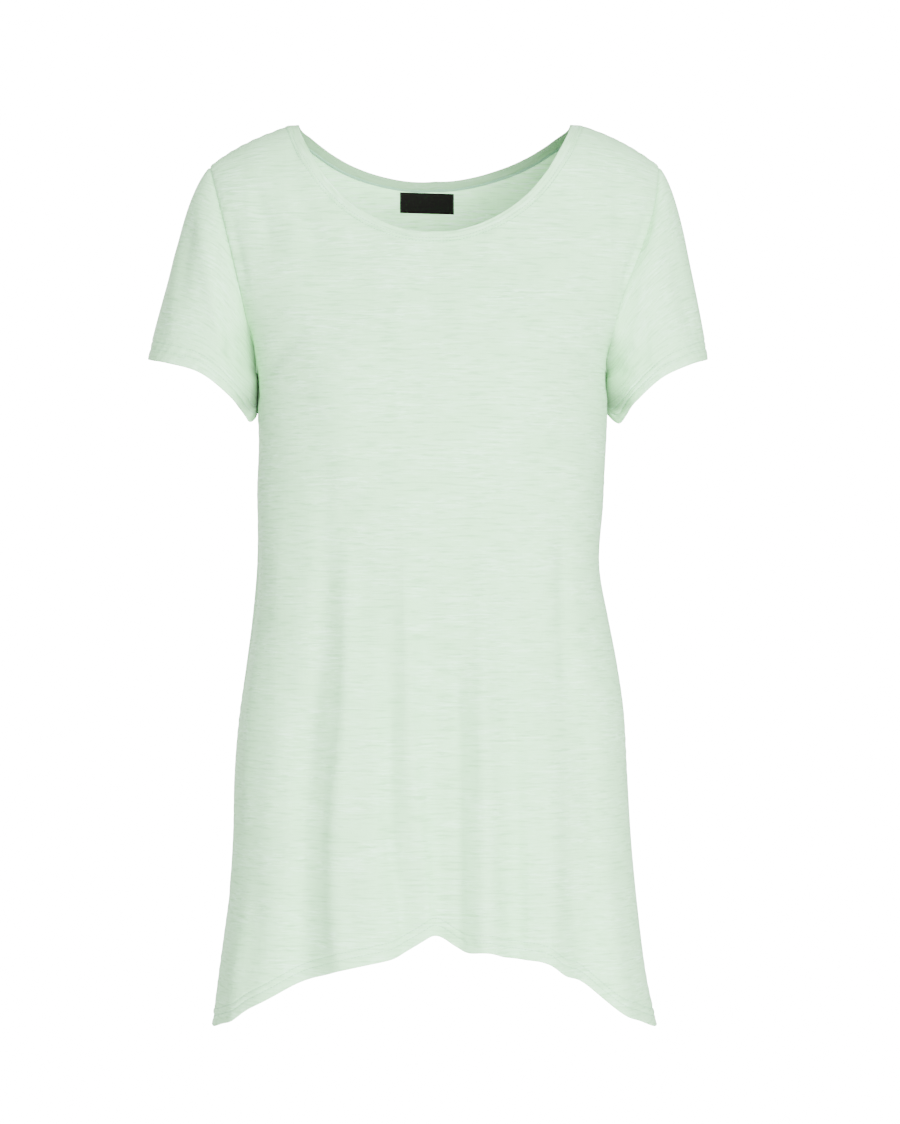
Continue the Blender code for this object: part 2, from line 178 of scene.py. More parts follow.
# Creases on top of the folds, as seen from the front: the path as (x, z) places, the half width and
# the rise. A trough has a negative rise, and each crease fades out at both ends.
CREASE_COLUMNS = ("path", "width", "rise")
CREASES = {
    "front": (
        # Shoulders and armholes
        (((-156, -32), (-147, -64), (-138, -97)), 7.0, -2.1),
        (((-114, -45), (-105, -77), (-95, -110)), 9.0, -2.0),
        (((-131, -38), (-122, -75), (-115, -108)), 9.0, 1.4),
        (((-175, -57), (-168, -94), (-160, -128)), 5.0, -2.0),
        (((70, -63), (63, -84), (56, -105)), 8.0, -1.6),
        (((151, -10), (151, -30), (150, -50)), 7.0, -1.3),
        (((186, -50), (175, -92), (161, -134)), 5.0, -2.1),
        (((-148, -205), (-128, -180), (-104, -166)), 7.0, -2.3),
        (((146, -205), (127, -183), (106, -170)), 7.0, -2.1),
        (((-150, -226), (-124, -222), (-98, -226)), 6.0, -1.6),
        (((147, -228), (124, -224), (102, -230)), 6.0, -1.3),
        # Between and below the busts
        (((-73, -121), (-58, -140), (-43, -160)), 12.0, -2.3),
        (((56, -138), (44, -155), (33, -171)), 11.0, -2.2),
        (((-40, -262), (-18, -290), (6, -322)), 14.0, -1.6),
        (((62, -258), (48, -292), (38, -330)), 13.0, -1.6),
        # Long falls to the hem
        (
            ((-94, -251), (-94, -309), (-93, -393), (-101, -477), (-108, -547), (-111, -632), (-113, -780)),
            9.0,
            -2.6,
        ),
        (((-24, -320), (-22, -421), (-17, -561), (-8, -645), (-4, -770)), 9.0, 5.6),
        (((-40, -430), (-38, -540), (-34, -615), (-27, -655), (-24, -770)), 8.0, -5.2),
        (((20, -400), (20, -560), (21, -645), (18, -770)), 6.0, -2.6),
        (((42, -331), (42, -449), (42, -519), (44, -645), (42, -770)), 9.0, 4.8),
        (((66, -401), (68, -534), (70, -600), (68, -760)), 8.0, -3.4),
        (((109, -321), (111, -421), (119, -498)), 8.0, -3.4),
        (((-122, -250), (-130, -336), (-135, -450), (-130, -506), (-146, -591), (-145, -653)), 9.0, 0.9),
        (((-72, -325), (-75, -505), (-81, -561), (-77, -760)), 9.0, 4.4),
        (((-152, -296), (-158, -408), (-168, -508), (-168, -613)), 5.0, -2.3),
        (((96, -524), (98, -600), (97, -750)), 9.0, 3.0),
        (((128, -470), (134, -600), (137, -750)), 11.0, -3.4),
        (((-179, -640), (-185, -757)), 5.0, -2.0),
    ),
    "back": (
        (((-148, -40), (-138, -78), (-126, -112)), 9.0, -2.0),
        (((140, -36), (132, -72), (122, -104)), 9.0, -2.1),
        (((-52, -98), (-40, -130), (-34, -168)), 12.0, -1.6),
        (((60, -104), (47, -138), (38, -170)), 12.0, -1.6),
        (((-146, -208), (-122, -186), (-92, -174)), 8.0, -2.3),
        (((145, -206), (119, -182), (94, -172)), 8.0, -2.5),
        (((-148, -236), (-118, -228), (-84, -236)), 7.0, -1.6),
        (((-104, -318), (-44, -332), (18, -326)), 12.0, -1.8),
        (((-30, -352), (34, -362), (96, -350)), 13.0, -2.0),
        (((-106, -290), (-108, -380), (-116, -500), (-124, -760)), 9.0, -3.1),
        (((-56, -330), (-54, -440), (-52, -560), (-46, -770)), 9.0, -2.9),
        (((-20, -360), (-22, -480), (-24, -600), (-24, -770)), 8.0, -2.3),
        (((4, -380), (6, -500), (9, -760)), 8.0, 2.6),
        (((58, -340), (58, -470), (62, -590), (62, -770)), 8.0, -2.9),
        (((92, -300), (94, -420), (86, -560), (86, -770)), 8.0, -2.3),
        (((112, -330), (118, -460), (122, -580), (125, -770)), 9.0, 2.9),
        (((142, -320), (148, -430), (152, -560), (155, -760)), 6.0, -2.3),
        (((-84, -300), (-88, -420), (-84, -560), (-87, -760)), 9.0, 2.3),
        (((-150, -330), (-156, -450), (-160, -590)), 6.0, -2.1),
    ),
    "sleeve_left": (
        (((-202, -52), (-192, -120), (-176, -196)), 8.0, 2.6),
        (((-210, -58), (-216, -100), (-219, -145)), 8.0, -2.6),
        (((-184, -112), (-178, -160), (-172, -208)), 5.0, -2.3),
        (((-232, -96), (-236, -140), (-236, -178)), 7.0, -1.6),
        (((-168, -166), (-180, -186), (-196, -202)), 5.0, -1.7),
    ),
    "sleeve_right": (
        (((198, -54), (178, -144), (171, -190)), 8.0, 2.6),
        (((206, -90), (214, -132), (225, -176)), 8.0, -2.6),
        (((188, -100), (182, -150), (180, -196)), 5.0, -2.3),
        (((160, -170), (174, -186), (192, -196)), 5.0, -1.8),
        (((158, -192), (170, -204), (184, -208)), 4.0, -1.3),
    ),
    "sleeve_left_back": (
        (((-200, -60), (-198, -120), (-190, -190)), 9.0, -2.3),
        (((-222, -70), (-226, -120), (-228, -176)), 8.0, -1.8),
        (((-164, -160), (-176, -184), (-192, -200)), 6.0, -2.0),
    ),
    "sleeve_right_back": (
        (((198, -62), (194, -124), (186, -190)), 9.0, -2.3),
        (((216, -80), (220, -130), (221, -176)), 8.0, -1.8),
        (((164, -162), (176, -186), (190, -198)), 6.0, -2.0),
    ),
}

# Slow waves that keep wide cloth from lying dead flat: length across and down, turn and rise
WAVE_COLUMNS = ("across", "down", "turn", "rise")
WAVES = (
    (118.0, 210.0, 0.4, 0.7),
    (74.0, -260.0, 2.1, 0.45),
    (46.0, 150.0, 4.0, 0.3),
)

# Seams: how far the cloth dips along them, the puckers beside them and the painted shade in them
SEAM_DIP = 1.3
SEAM_DIP_WIDTH = 1.4
PUCKER_RISE = 0.45
PUCKER_REACH = 7.0
PUCKER_LENGTH = 11.0
SEAM_FADE = 9.0
SEAM_SHADE = 0.23
SEAM_SHADE_WIDTH = 1.3

# Cuff edge: how far across the cuff each place lies, its y and its z
CUFF_INNER = 154.5
CUFF_OUTER = {"left": 249.5, "right": 238.0}
CUFF_FRONT = np.array(
    (
        (0.00, 2.0, -231.0),
        (0.05, -17.0, -240.0),
        (0.21, -40.0, -220.0),
        (0.50, -51.0, -198.5),
        (0.80, -40.0, -190.0),
        (0.96, -17.0, -186.5),
        (1.00, 0.0, -185.0),
    )
)
CUFF_BACK = np.array(
    (
        (1.00, 0.0, -185.0),
        (0.95, 20.0, -182.5),
        (0.78, 40.0, -184.5),
        (0.48, 50.0, -196.0),
        (0.18, 38.0, -215.5),
        (0.03, 19.0, -228.0),
        (0.00, 2.0, -231.0),
    )
)
CUFF_SAG = {"left": 0.0, "right": 5.0}
CUFF_SAG_SHAPE = 6.75
CUFF_UNDER = {"left": (155.2, -231.0), "right": (149.9, -225.0)}
SLEEVE_BULGE = 6.5
CAP_BULGE = 4.0

# Underarm: the valley between the body and a sleeve, as (x, z) places, and the stretch of sleeve
# below it that lies against the body's side
VALLEYS = {
    "left": np.array(((-161.2, -164.7), (-158.6, -190.6), (-156.0, -216.6))),
    "right": np.array(((152.8, -177.7), (152.3, -195.0), (152.8, -210.5), (155.4, -222.6))),
}
VALLEY_BODY_WIDTH = 3.5
VALLEY_SLEEVE_WIDTH = 9.5
VALLEY_DEPTH = 22.0
VALLEY_INWARD = 4.0
VALLEY_START = 26.0
VALLEY_END = 10.0
VALLEY_MARGIN = 4.0

# The painted shade in the valleys, a darker colour mixed into the cloth: z, its width on the sleeve and its
# strength
VALLEY_SHADES = np.array(
    (
        (-150.0, 4.0, 0.05),
        (-178.0, 4.0, 0.32),
        (-195.0, 5.0, 0.65),
        (-212.0, 8.5, 0.80),
        (-226.0, 15.0, 0.85),
        (-240.0, 15.0, 0.0),
    )
)
VALLEY_SHADE_BODY = 2.2
TUCK_HEIGHTS = (-192.0, -204.0, -231.0, -243.0)
TUCK_REACH = 9.0
TUCK_LAP = 0.25

# Woven label
LABEL_WIDTH = 48.0
LABEL_HEIGHT = 18.0
LABEL_CENTRE = -7.0
LABEL_BELOW_BAND = 2.0
LABEL_TILT = 0.03
LABEL_CLOTH = 0.6
LABEL_FOLD = 3.0
LABEL_FOLD_RISE = 0.3
LABEL_GRID = (49, 19)
LABEL_RIPPLE = 0.12
LABEL_GAP = 0.5

# Grids of the cut pieces. The hem rows are distances above the hem edge, closer together at the two
# stitch lines.
COLUMNS = {"front": 160, "back": 144}
EDGE_COLUMNS = (0.0022, 0.0055)
NECK_SHARE = {"front": 0.7, "back": 0.625}
UPPER_ROWS = 76
LOWER_ROWS = 100
ROW_POWER = 1.1
SLEEVE_ROWS = 40
SLEEVE_EDGE = (0.004, 0.011)
HEM_ROWS = (
    *(19.6, 18.2, 17.0, 16.0, 15.5, 15.0, 14.5, 13.8, 12.0, 10.2),
    *(9.5, 9.0, 8.5, 7.6, 5.5, 3.2, 1.4, 0.5, 0.0),
)
STITCH_LINES = (9.0, 15.0)
STITCH_DIP = 0.6
STITCH_DIP_WIDTH = 0.9
ROPING_RISE = 0.34
ROPING_LENGTH = 10.0
HEM_ROUND = 0.3
SIDE_CROWDING = 0.3
ARMHOLE_ROUNDS = 12
FLAT_STEPS = 24
SHARP_ANGLE = 60.0

# Sewing
STITCH_SIDES = 6
NECK_LINES = (-1.3, 1.3)
NECK_SEWING_STEPS = 300
TICK_PITCH = 1.7
TICK_REACH = (1.7, -0.9)

# Jersey pattern: how often each mask changes across and along in a metre, and the noise at which it
# starts and is full
JERSEY_MASKS = {
    "patches": ((14.0, 44.0), 0.36, 0.6),
    "long slubs": ((36.0, 450.0), 0.5, 0.68),
    "short slubs": ((90.0, 560.0), 0.52, 0.7),
    "thin yarn": ((42.0, 470.0), 0.5, 0.32),
    "clouds": ((9.0, 26.0), 0.35, 0.65),
    "wales": ((260.0, 22.0), 0.4, 0.62),
    "courses": ((60.0, 1500.0), 0.3, 0.7),
}
# What is mixed over the ground, in order: mask, share, colour and whether the contrast changes it
JERSEY_YARNS = (
    ("clouds", 0.3, "shade", False),
    ("wales", 0.16, "shade", False),
    ("courses", 0.2, "shade", False),
    ("thin yarn", 0.85, "thin", True),
    ("long slubs", 0.75, "slub", True),
    ("short slubs", 0.8, "slub", True),
)
JERSEY_BUMPS = {
    "long slubs": 0.6,
    "short slubs": 0.5,
    "thin yarn": 0.3,
    "wales": 0.16,
    "courses": 0.25,
}
JERSEY_BUMP_HEIGHT = 0.0003
PALEST = 0.95

# The photographed view in metres: the middle of the picture across and up, and the sensor's width
VIEW_CENTRE = (0.013485, -0.36105)
SENSOR = 36.0

# Stage lights in metres: name, place and size, each with a power of its own in the settings, and the
# heights between which the surround brightens
LIGHTS = (
    ("key", (0.9, -3.3, -0.5), 1.4),
    ("fill", (0.1, -2.8, 1.0), 1.6),
    ("back", (-1.5, 3.0, 0.5), 1.2),
)
LIGHT_TARGET = (0.0, 0.0, -0.35)
SURROUND_FLOOR = -1.0
SURROUND_FULL = 0.2

# The deep field holds the painted shade that darkens the cloth's colour in the seams and the underarm
# valleys.
Cut = namedtuple("Cut", ("outer", "facing", "wall", "flat", "closed", "deep"))


def smooth(stations, values, at):
    """A smooth curve through the values at rising stations."""
    slopes = np.gradient(values, stations)
    at = np.clip(at, stations[0], stations[-1])
    k = np.clip(np.searchsorted(stations, at) - 1, 0, len(stations) - 2)
    step = stations[k + 1] - stations[k]
    t = (at - stations[k]) / step
    start = values[k] * (1 + 2 * t) * (1 - t) ** 2 + slopes[k] * step * t * (1 - t) ** 2
    end = values[k + 1] * t**2 * (3 - 2 * t) + slopes[k + 1] * step * t**2 * (t - 1)
    return start + end


def ease(t):
    """0 to 1 with level ends."""
    t = np.clip(t, 0.0, 1.0)
    return t * t * (3 - 2 * t)


def ring(column, z):
    """A size of the body at a height."""
    return smooth(BODY_RINGS[:, 0], BODY_RINGS[:, BODY_COLUMNS.index(column)], z)


def half_width(x, z):
    return np.where(x < 0, ring("left", z), ring("right", z))


def outward(face):
    """The direction in which a face looks along Y."""
    return -1.0 if face == "front" else 1.0


def ring_depth(face, x, z):
    """How far a face of the body lies from the side seams."""
    across = np.clip(np.abs(x) / half_width(x, z), 0.0, 1.0)
    depth = ring(face, z)
    if face == "front":
        spread = (np.abs(x) - BUST_CENTRE) ** 2 + (z - BUST_HEIGHT) ** 2
        depth = depth + BUST_RISE * np.exp(-spread / BUST_SPREAD**2)
    return depth * (1 - across**RING_POWER) ** (1 / RING_POWER)


def crest(x):
    """Height of the shoulder crest, rounded where the neck band turns over it."""
    beside = np.abs(x) - NECK_HALF_WIDTH + NECK_POINT_SHIFT
    turned = NECK_POINT_ROUND * np.exp(-((beside / NECK_POINT_SPREAD) ** 2))
    return smooth(CREST[:, 0], CREST[:, 1], np.abs(x)) - turned


def chest_point(face, x, reach):
    """The outer face of the upper body, a length of cloth called reach down from the shoulder crest."""
    turn = np.minimum(reach / SHOULDER_ROUND, math.pi / 2)
    straight = np.maximum(reach - SHOULDER_ROUND * math.pi / 2, 0.0)
    z = crest(x) - SHOULDER_ROUND * (1 - np.cos(turn)) - straight
    y = outward(face) * ring_depth(face, x, z) * np.sin(turn)
    return np.stack([x, y, z], axis=-1)


def unit(vectors):
    return vectors / np.linalg.norm(vectors, axis=-1, keepdims=True)


def chest_normal(face, x, reach):
    """Outward normal of the upper body."""
    step = 0.5
    across = chest_point(face, x + step, reach) - chest_point(face, x - step, reach)
    down = chest_point(face, x, reach + step) - chest_point(face, x, np.maximum(reach - step, 0.0))
    return unit(np.cross(across, down) * outward(face))


def underarm_reach(x):
    """The reach at which the chest comes down to underarm height."""
    return SHOULDER_ROUND * (math.pi / 2 - 1) + crest(x) - UNDERARM


def armhole_x(face, side, reach):
    """Distance of an armhole edge from the centre line, by its reach."""
    foot = ring(side, UNDERARM)
    tip_z = crest(SHOULDER_TIP)
    power, curl = ARMHOLES[face, side]
    x = np.full_like(reach, SHOULDER_TIP)
    for _ in range(ARMHOLE_ROUNDS):
        z = chest_point(face, x, reach)[..., 2]
        share = np.clip((z - UNDERARM) / (tip_z - UNDERARM), 0.0, 1.0)
        x = foot + (SHOULDER_TIP - foot) * (share**power - curl * np.sin(2 * math.pi * share))
    return x


def neck_edge(face, angle, inset):
    """Place on the neck edge, as distance across and reach, with the neck widened by inset."""
    x = (NECK_HALF_WIDTH + inset) * np.sin(angle)
    depth = np.abs(np.cos(angle)) ** NECK_POWER * (1 - NECK_LEAN[face] * np.sin(2 * angle))
    return x, (NECK_REACH[face] + inset) * depth


def side_angle(share):
    """Angle round the body for a column, closer together at the centre than at the sides."""
    return math.pi / 2 * ((1 - SIDE_CROWDING) * share + SIDE_CROWDING * share**3)


def fold_sum(face, x, column, z=None):
    """The rise or the hem lift of all folds at a place across the hem."""
    total = np.zeros_like(x)
    for row in FOLDS[face]:
        fold = dict(zip(FOLD_COLUMNS, row))
        amount = fold[column] * np.exp(-(((x - fold["x"]) / fold["spread"]) ** 2))
        if z is not None:
            amount = amount * ease((fold["top"] - z) / (fold["top"] - HEM_CENTRE))
        total = total + amount
    return total


def hem_height(face, x):
    dip = HEM_DIP * (np.abs(x) / HEM_HALF_WIDTH) ** HEM_POWER
    return HEM_CENTRE - dip + fold_sum(face, x, "lift")


def skirt_point(face, angle, z):
    """The outer face of the body below the underarm, with its folds."""
    flat = np.sin(angle)
    x = flat * half_width(flat, z)
    y = outward(face) * ring_depth(face, x, z)
    normal = np.stack(
        [
            np.sign(x) * np.abs(flat) ** (RING_POWER - 1) / half_width(flat, z),
            np.sign(y) * np.abs(y / ring(face, z)) ** (RING_POWER - 1) / ring(face, z),
        ]
    )
    rise = fold_sum(face, flat * HEM_HALF_WIDTH, "rise", z) * normal / np.linalg.norm(normal, axis=0)
    return np.stack([x + rise[0], y + rise[1], z], axis=-1)


def crease_sum(name, place):
    """Rise of all the creases of a table at places seen from the front."""
    total = np.zeros(place.shape[:-1])
    for row in CREASES[name]:
        crease = dict(zip(CREASE_COLUMNS, row))
        path = np.array(crease["path"], float)
        width = crease["width"]
        steps = np.linalg.norm(np.diff(path, axis=0), axis=1)
        along = np.concatenate([[0.0], np.cumsum(steps)])
        count = max(8, math.ceil(along[-1] / (0.6 * width)))
        share = (np.arange(count) + 0.5) / count
        fade = np.minimum(1.0, 1.6 * np.sin(math.pi * share))
        weight = crease["rise"] * fade * (along[-1] / count) / (math.sqrt(math.pi) * width)
        for point_share, amount in zip(share, weight):
            spot = [smooth(along, path[:, k], np.array([point_share * along[-1]]))[0] for k in (0, 1)]
            gap = (place[..., 0] - spot[0]) ** 2 + (place[..., 1] - spot[1]) ** 2
            total += amount * np.exp(-gap / width**2)
    return total


def wave_sum(across, down):
    """Slow uneven waves of wide cloth."""
    total = np.zeros_like(across)
    for row in WAVES:
        wave = dict(zip(WAVE_COLUMNS, row))
        turns = across / wave["across"] + down / wave["down"]
        total += wave["rise"] * np.sin(2 * math.pi * turns + wave["turn"])
    return total


def seam_rise(gap, along):
    """The dip of a seam and the uneven puckers beside it, by distance from the seam and place along it."""
    dip = -SEAM_DIP * np.exp(-((gap / SEAM_DIP_WIDTH) ** 2))
    uneven = 0.6 + 0.4 * np.sin(along / 37.0)
    pucker = PUCKER_RISE * uneven * np.sin(2 * math.pi * along / PUCKER_LENGTH + np.sin(along / 23.0))
    return dip + pucker * np.exp(-gap / PUCKER_REACH) * (1 - np.exp(-((gap / SEAM_DIP_WIDTH) ** 2)))


def hem_rise(above, along):
    """The stitch lines of a turned-up hem and the slanting ripples between them."""
    rise = np.zeros(np.broadcast(above, along).shape)
    for line in STITCH_LINES:
        rise = rise - STITCH_DIP * np.exp(-(((above - line) / STITCH_DIP_WIDTH) ** 2))
    inside = np.exp(-(((above - HEM_DEPTH / 2) / (HEM_DEPTH / 2)) ** 4))
    turn = 2 * math.pi * (along + 0.7 * above) / ROPING_LENGTH + 1.3 * np.sin(along / 31.0)
    return rise + ROPING_RISE * (0.65 + 0.35 * np.sin(along / 47.0)) * inside * np.sin(turn)


def valley_gap(path, x, z):
    """How far places lie from the line of a valley, out over the sleeve."""
    centre = np.interp(-z, -path[:, 1], path[:, 0])
    return (x - centre) * np.sign(centre)


def valley_share(points):
    """How deep places lie in the valleys between the body and the sleeves."""
    x, _, z = np.moveaxis(points, -1, 0)
    share = np.zeros_like(x)
    for path in VALLEYS.values():
        start = ease((path[0, 1] + VALLEY_START / 2 - z) / VALLEY_START)
        end = ease((z - path[-1, 1] + VALLEY_END) / VALLEY_END)
        gap = valley_gap(path, x, z)
        width = np.where(gap > 0, VALLEY_SLEEVE_WIDTH, VALLEY_BODY_WIDTH)
        share += start * end * np.exp(-((gap / width) ** 2))
    return share


def valley_push(points):
    """Points drawn towards the middle along the valleys."""
    x, y, z = np.moveaxis(points, -1, 0)
    drawn = valley_share(points) * ease(np.abs(y) / (VALLEY_DEPTH + VALLEY_MARGIN))
    inward_x = x - np.sign(x) * VALLEY_INWARD * drawn
    inward_y = y - np.sign(y) * VALLEY_DEPTH * drawn
    return np.stack([inward_x, inward_y, z], axis=-1)


def valley_shade(points):
    """The painted shade for the cloth's colour in the valleys, wider and deeper towards the cuffs."""
    x, _, z = np.moveaxis(points, -1, 0)
    heights, widths, strengths = VALLEY_SHADES.T
    share = np.zeros_like(x)
    for path in VALLEYS.values():
        gap = valley_gap(path, x, z)
        width = np.where(gap > 0, np.interp(-z, -heights, widths), VALLEY_SHADE_BODY)
        share += np.exp(-((gap / width) ** 2))
    return share * np.interp(-z, -heights, strengths)


def seam_shade(gap):
    """The thin painted shade for the cloth's colour in a seam."""
    return SEAM_SHADE * np.exp(-((gap / SEAM_SHADE_WIDTH) ** 2))


def tuck(points):
    """Sleeve points near the underarm laid against the side of the body."""
    x, y, z = np.moveaxis(points, -1, 0)
    depth = np.where(y < 0, ring("front", z), ring("back", z))
    side = half_width(x, z) * (1 - np.clip(np.abs(y) / depth, 0.0, 1.0) ** RING_POWER) ** (1 / RING_POWER)
    gap = np.abs(x) - side + TUCK_LAP
    top, full, low, end = TUCK_HEIGHTS
    level = ease((top - z) / (top - full)) * ease((z - end) / (low - end))
    hold = level * np.exp(-((gap / TUCK_REACH) ** 2))
    return np.stack([x - np.sign(x) * gap * hold, y, z], axis=-1)


def lengths_along(points, axis):
    """Length of cloth from the first row or column."""
    steps = np.linalg.norm(np.diff(points, axis=axis), axis=-1)
    shape = list(steps.shape)
    shape[axis] = 1
    return np.concatenate([np.zeros(shape), np.cumsum(steps, axis=axis)], axis=axis)


def grid_normals(points, closed):
    """Unit normals of a grid of points."""
    down = np.gradient(points, axis=0)
    if closed:
        along = np.roll(points, -1, axis=1) - np.roll(points, 1, axis=1)
    else:
        along = np.gradient(points, axis=1)
    return unit(np.cross(down, along))


def column_shares(face):
    """Places of the columns from side to side, with two more beside each edge for the seam."""
    share = np.linspace(-1.0, 1.0, COLUMNS[face] + 1)
    near = 1.0 - np.array(EDGE_COLUMNS)
    return np.sort(np.concatenate([share, near, -near]))


def flat_across(face, x, z):
    """Length of cloth from the centre line to a place, at its height."""
    width = half_width(x, z)
    turn = np.arcsin(np.clip(np.abs(x) / width, 0.0, 1.0))
    total = np.zeros_like(x)
    before = (np.zeros_like(x), ring(face, z))
    for step in np.linspace(0.0, 1.0, FLAT_STEPS + 1)[1:]:
        flat = np.sin(turn * step)
        after = (width * flat, ring(face, z) * (1 - flat**RING_POWER) ** (1 / RING_POWER))
        total += np.hypot(after[0] - before[0], after[1] - before[1])
        before = after
    return np.sign(x) * total


@cache
def panel_base(face):
    """Points, outward normals and flat places of a panel before its creases, from the neck down."""
    share = column_shares(face)
    size = np.abs(share)
    neck = NECK_SHARE[face]
    angle = math.pi / 2 * np.clip(share / neck, -1.0, 1.0)
    neck_x, neck_reach = neck_edge(face, angle, BAND_WIDTH)
    along = np.maximum(size - neck, 0.0) / (1 - neck)
    top_x = np.abs(neck_x) + (SHOULDER_TIP - NECK_HALF_WIDTH - BAND_WIDTH) * along
    top_reach = np.where(size < neck, neck_reach, 0.0)
    foot_share = np.abs(np.sin(side_angle(share)))
    sign = np.sign(share)
    rows, normals, drops = [], [], []
    for q in np.linspace(0.0, 1.0, UPPER_ROWS + 1) ** ROW_POWER:
        edge_reach = q * underarm_reach(np.array([ring("left", UNDERARM), ring("right", UNDERARM)]))
        edges = [armhole_x(face, side, reach) for side, reach in zip(("left", "right"), edge_reach)]
        edge_x = np.where(sign < 0, edges[0], edges[1])
        spread = top_x / SHOULDER_TIP + (foot_share - top_x / SHOULDER_TIP) * q * (2 - q)
        x = sign * edge_x * spread
        foot_reach = underarm_reach(foot_share * half_width(share, UNDERARM))
        reach = top_reach + (foot_reach - top_reach) * q
        rows.append(chest_point(face, x, reach))
        normals.append(chest_normal(face, x, reach))
        drops.append(crest(x) - reach)
    turned = SHOULDER_ROUND * (math.pi / 2 - 1)
    hem = hem_height(face, np.sin(side_angle(share)) * HEM_HALF_WIDTH)
    fall = hem + HEM_ROWS[0] + 1.0 - UNDERARM
    heights = [UNDERARM + fall * q for q in np.linspace(0.0, 1.0, LOWER_ROWS + 1)[1:]]
    heights += [hem + above for above in HEM_ROWS]
    for z in heights:
        rows.append(skirt_point(face, side_angle(share), z))
        drops.append(z - turned)
    outer = np.array(rows)
    facing = grid_normals(outer, closed=False) * -outward(face)
    facing[: UPPER_ROWS + 1] = normals
    seam = np.zeros(facing.shape[:2], bool)
    seam[0] = size >= neck
    seam[UPPER_ROWS:, 0] = True
    seam[UPPER_ROWS:, -1] = True
    facing[seam, 1] = 0.0
    flat = np.stack([flat_across(face, outer[..., 0], outer[..., 2]), np.array(drops)], axis=-1)
    return outer, unit(facing), flat


@cache
def panel_cut(face, wall, strength):
    """A front or back with its creases, seams and hem."""
    outer, facing, flat = panel_base(face)
    across = lengths_along(outer, 1)
    down = lengths_along(outer, 0)
    side_gap = np.minimum(across, across[:, -1:] - across)
    is_neck = np.abs(column_shares(face)) < NECK_SHARE[face]
    shoulder_gap = np.where(is_neck[None, :], np.inf, down)
    fade = ease(side_gap / SEAM_FADE) * ease(down / SEAM_FADE)
    rise = strength * fade * crease_sum(face, outer[..., [0, 2]])
    rise += fade * wave_sum(outer[..., 0], outer[..., 2])
    rise += seam_rise(side_gap, down) + seam_rise(shoulder_gap, across)
    above = np.full(len(outer), 1000.0)
    above[-len(HEM_ROWS) :] = HEM_ROWS
    rise += hem_rise(above[:, None], across)
    thickness = np.full(len(outer), wall)
    thickness[-len(HEM_ROWS) + 1 :] = 2 * wall
    shift = np.array([0.0, outward(face) * SIDE_SHIFT, 0.0])
    bare = outer + facing * rise[..., None] + shift
    # Painted shade: a darker colour in the underarm valleys and along the armholes, side seams and shoulder
    # seams.
    deep = np.maximum(valley_shade(bare), np.maximum(seam_shade(side_gap), seam_shade(shoulder_gap)))
    return Cut(valley_push(bare), facing, thickness, flat, False, deep)


def armhole_loop(side):
    """Points and normals of an uncreased armhole, from the underarm up the front and down the back."""
    column = 0 if side == "left" else -1
    points, normals = [], []
    for face in ("front", "back"):
        outer, facing, _ = panel_base(face)
        shift = np.array([0.0, outward(face) * SIDE_SHIFT, 0.0])
        rows = range(UPPER_ROWS, -1, -1) if face == "front" else range(UPPER_ROWS + 1)
        points.append(outer[list(rows), column] + shift)
        normals.append(facing[list(rows), column])
    front, back = points
    tip = (front[-1] + back[0]) / 2
    foot = (front[0] + back[-1]) / 2
    loop = np.vstack([foot, front[1:-1], tip, back[1:-1]])
    facing = np.vstack([normals[0][0], normals[0][1:-1], normals[0][-1], normals[1][1:-1]])
    return loop, facing


def cuff_loop(side, count):
    """Points of the cuff edge, as many and in the same order as the armhole's."""
    sign = -1.0 if side == "left" else 1.0
    loop = []
    for table in (CUFF_FRONT, CUFF_BACK):
        across = table[:, 0]
        x = sign * (CUFF_INNER + (CUFF_OUTER[side] - CUFF_INNER) * across)
        z = table[:, 2] - CUFF_SAG[side] * CUFF_SAG_SHAPE * across * (1 - across) ** 2
        under = across == 0.0
        x[under], z[under] = sign * CUFF_UNDER[side][0], CUFF_UNDER[side][1]
        place = np.vstack([x, table[:, 1], z])
        steps = np.linalg.norm(np.diff(place, axis=1), axis=0)
        along = np.concatenate([[0.0], np.cumsum(steps)])
        at = np.linspace(0.0, along[-1], count // 2 + 1)[:-1]
        loop.append(np.stack([smooth(along, row, at) for row in place], axis=-1))
    return np.vstack(loop)


def sleeve_head(side, edge, facing, run):
    """First ring of a sleeve, lapped a little onto the panels' edge, and its outward normals."""
    along = np.roll(edge, -1, axis=0) - np.roll(edge, 1, axis=0)
    away = unit(np.cross(facing, along) * (1.0 if side == "left" else -1.0))
    rise = np.arctan2(np.sum(run * facing, axis=1), np.sum(run * away, axis=1))[:, None]
    rise = np.where(rise < -math.pi / 2, rise + 2 * math.pi, rise)
    gap = np.clip(rise, 0.0, math.pi / 2)
    lean = np.maximum(rise, 0.0)
    start = edge - SEAM_LAP * (np.cos(gap) * away + np.sin(gap) * facing)
    return start, np.cos(lean) * facing - np.sin(lean) * away


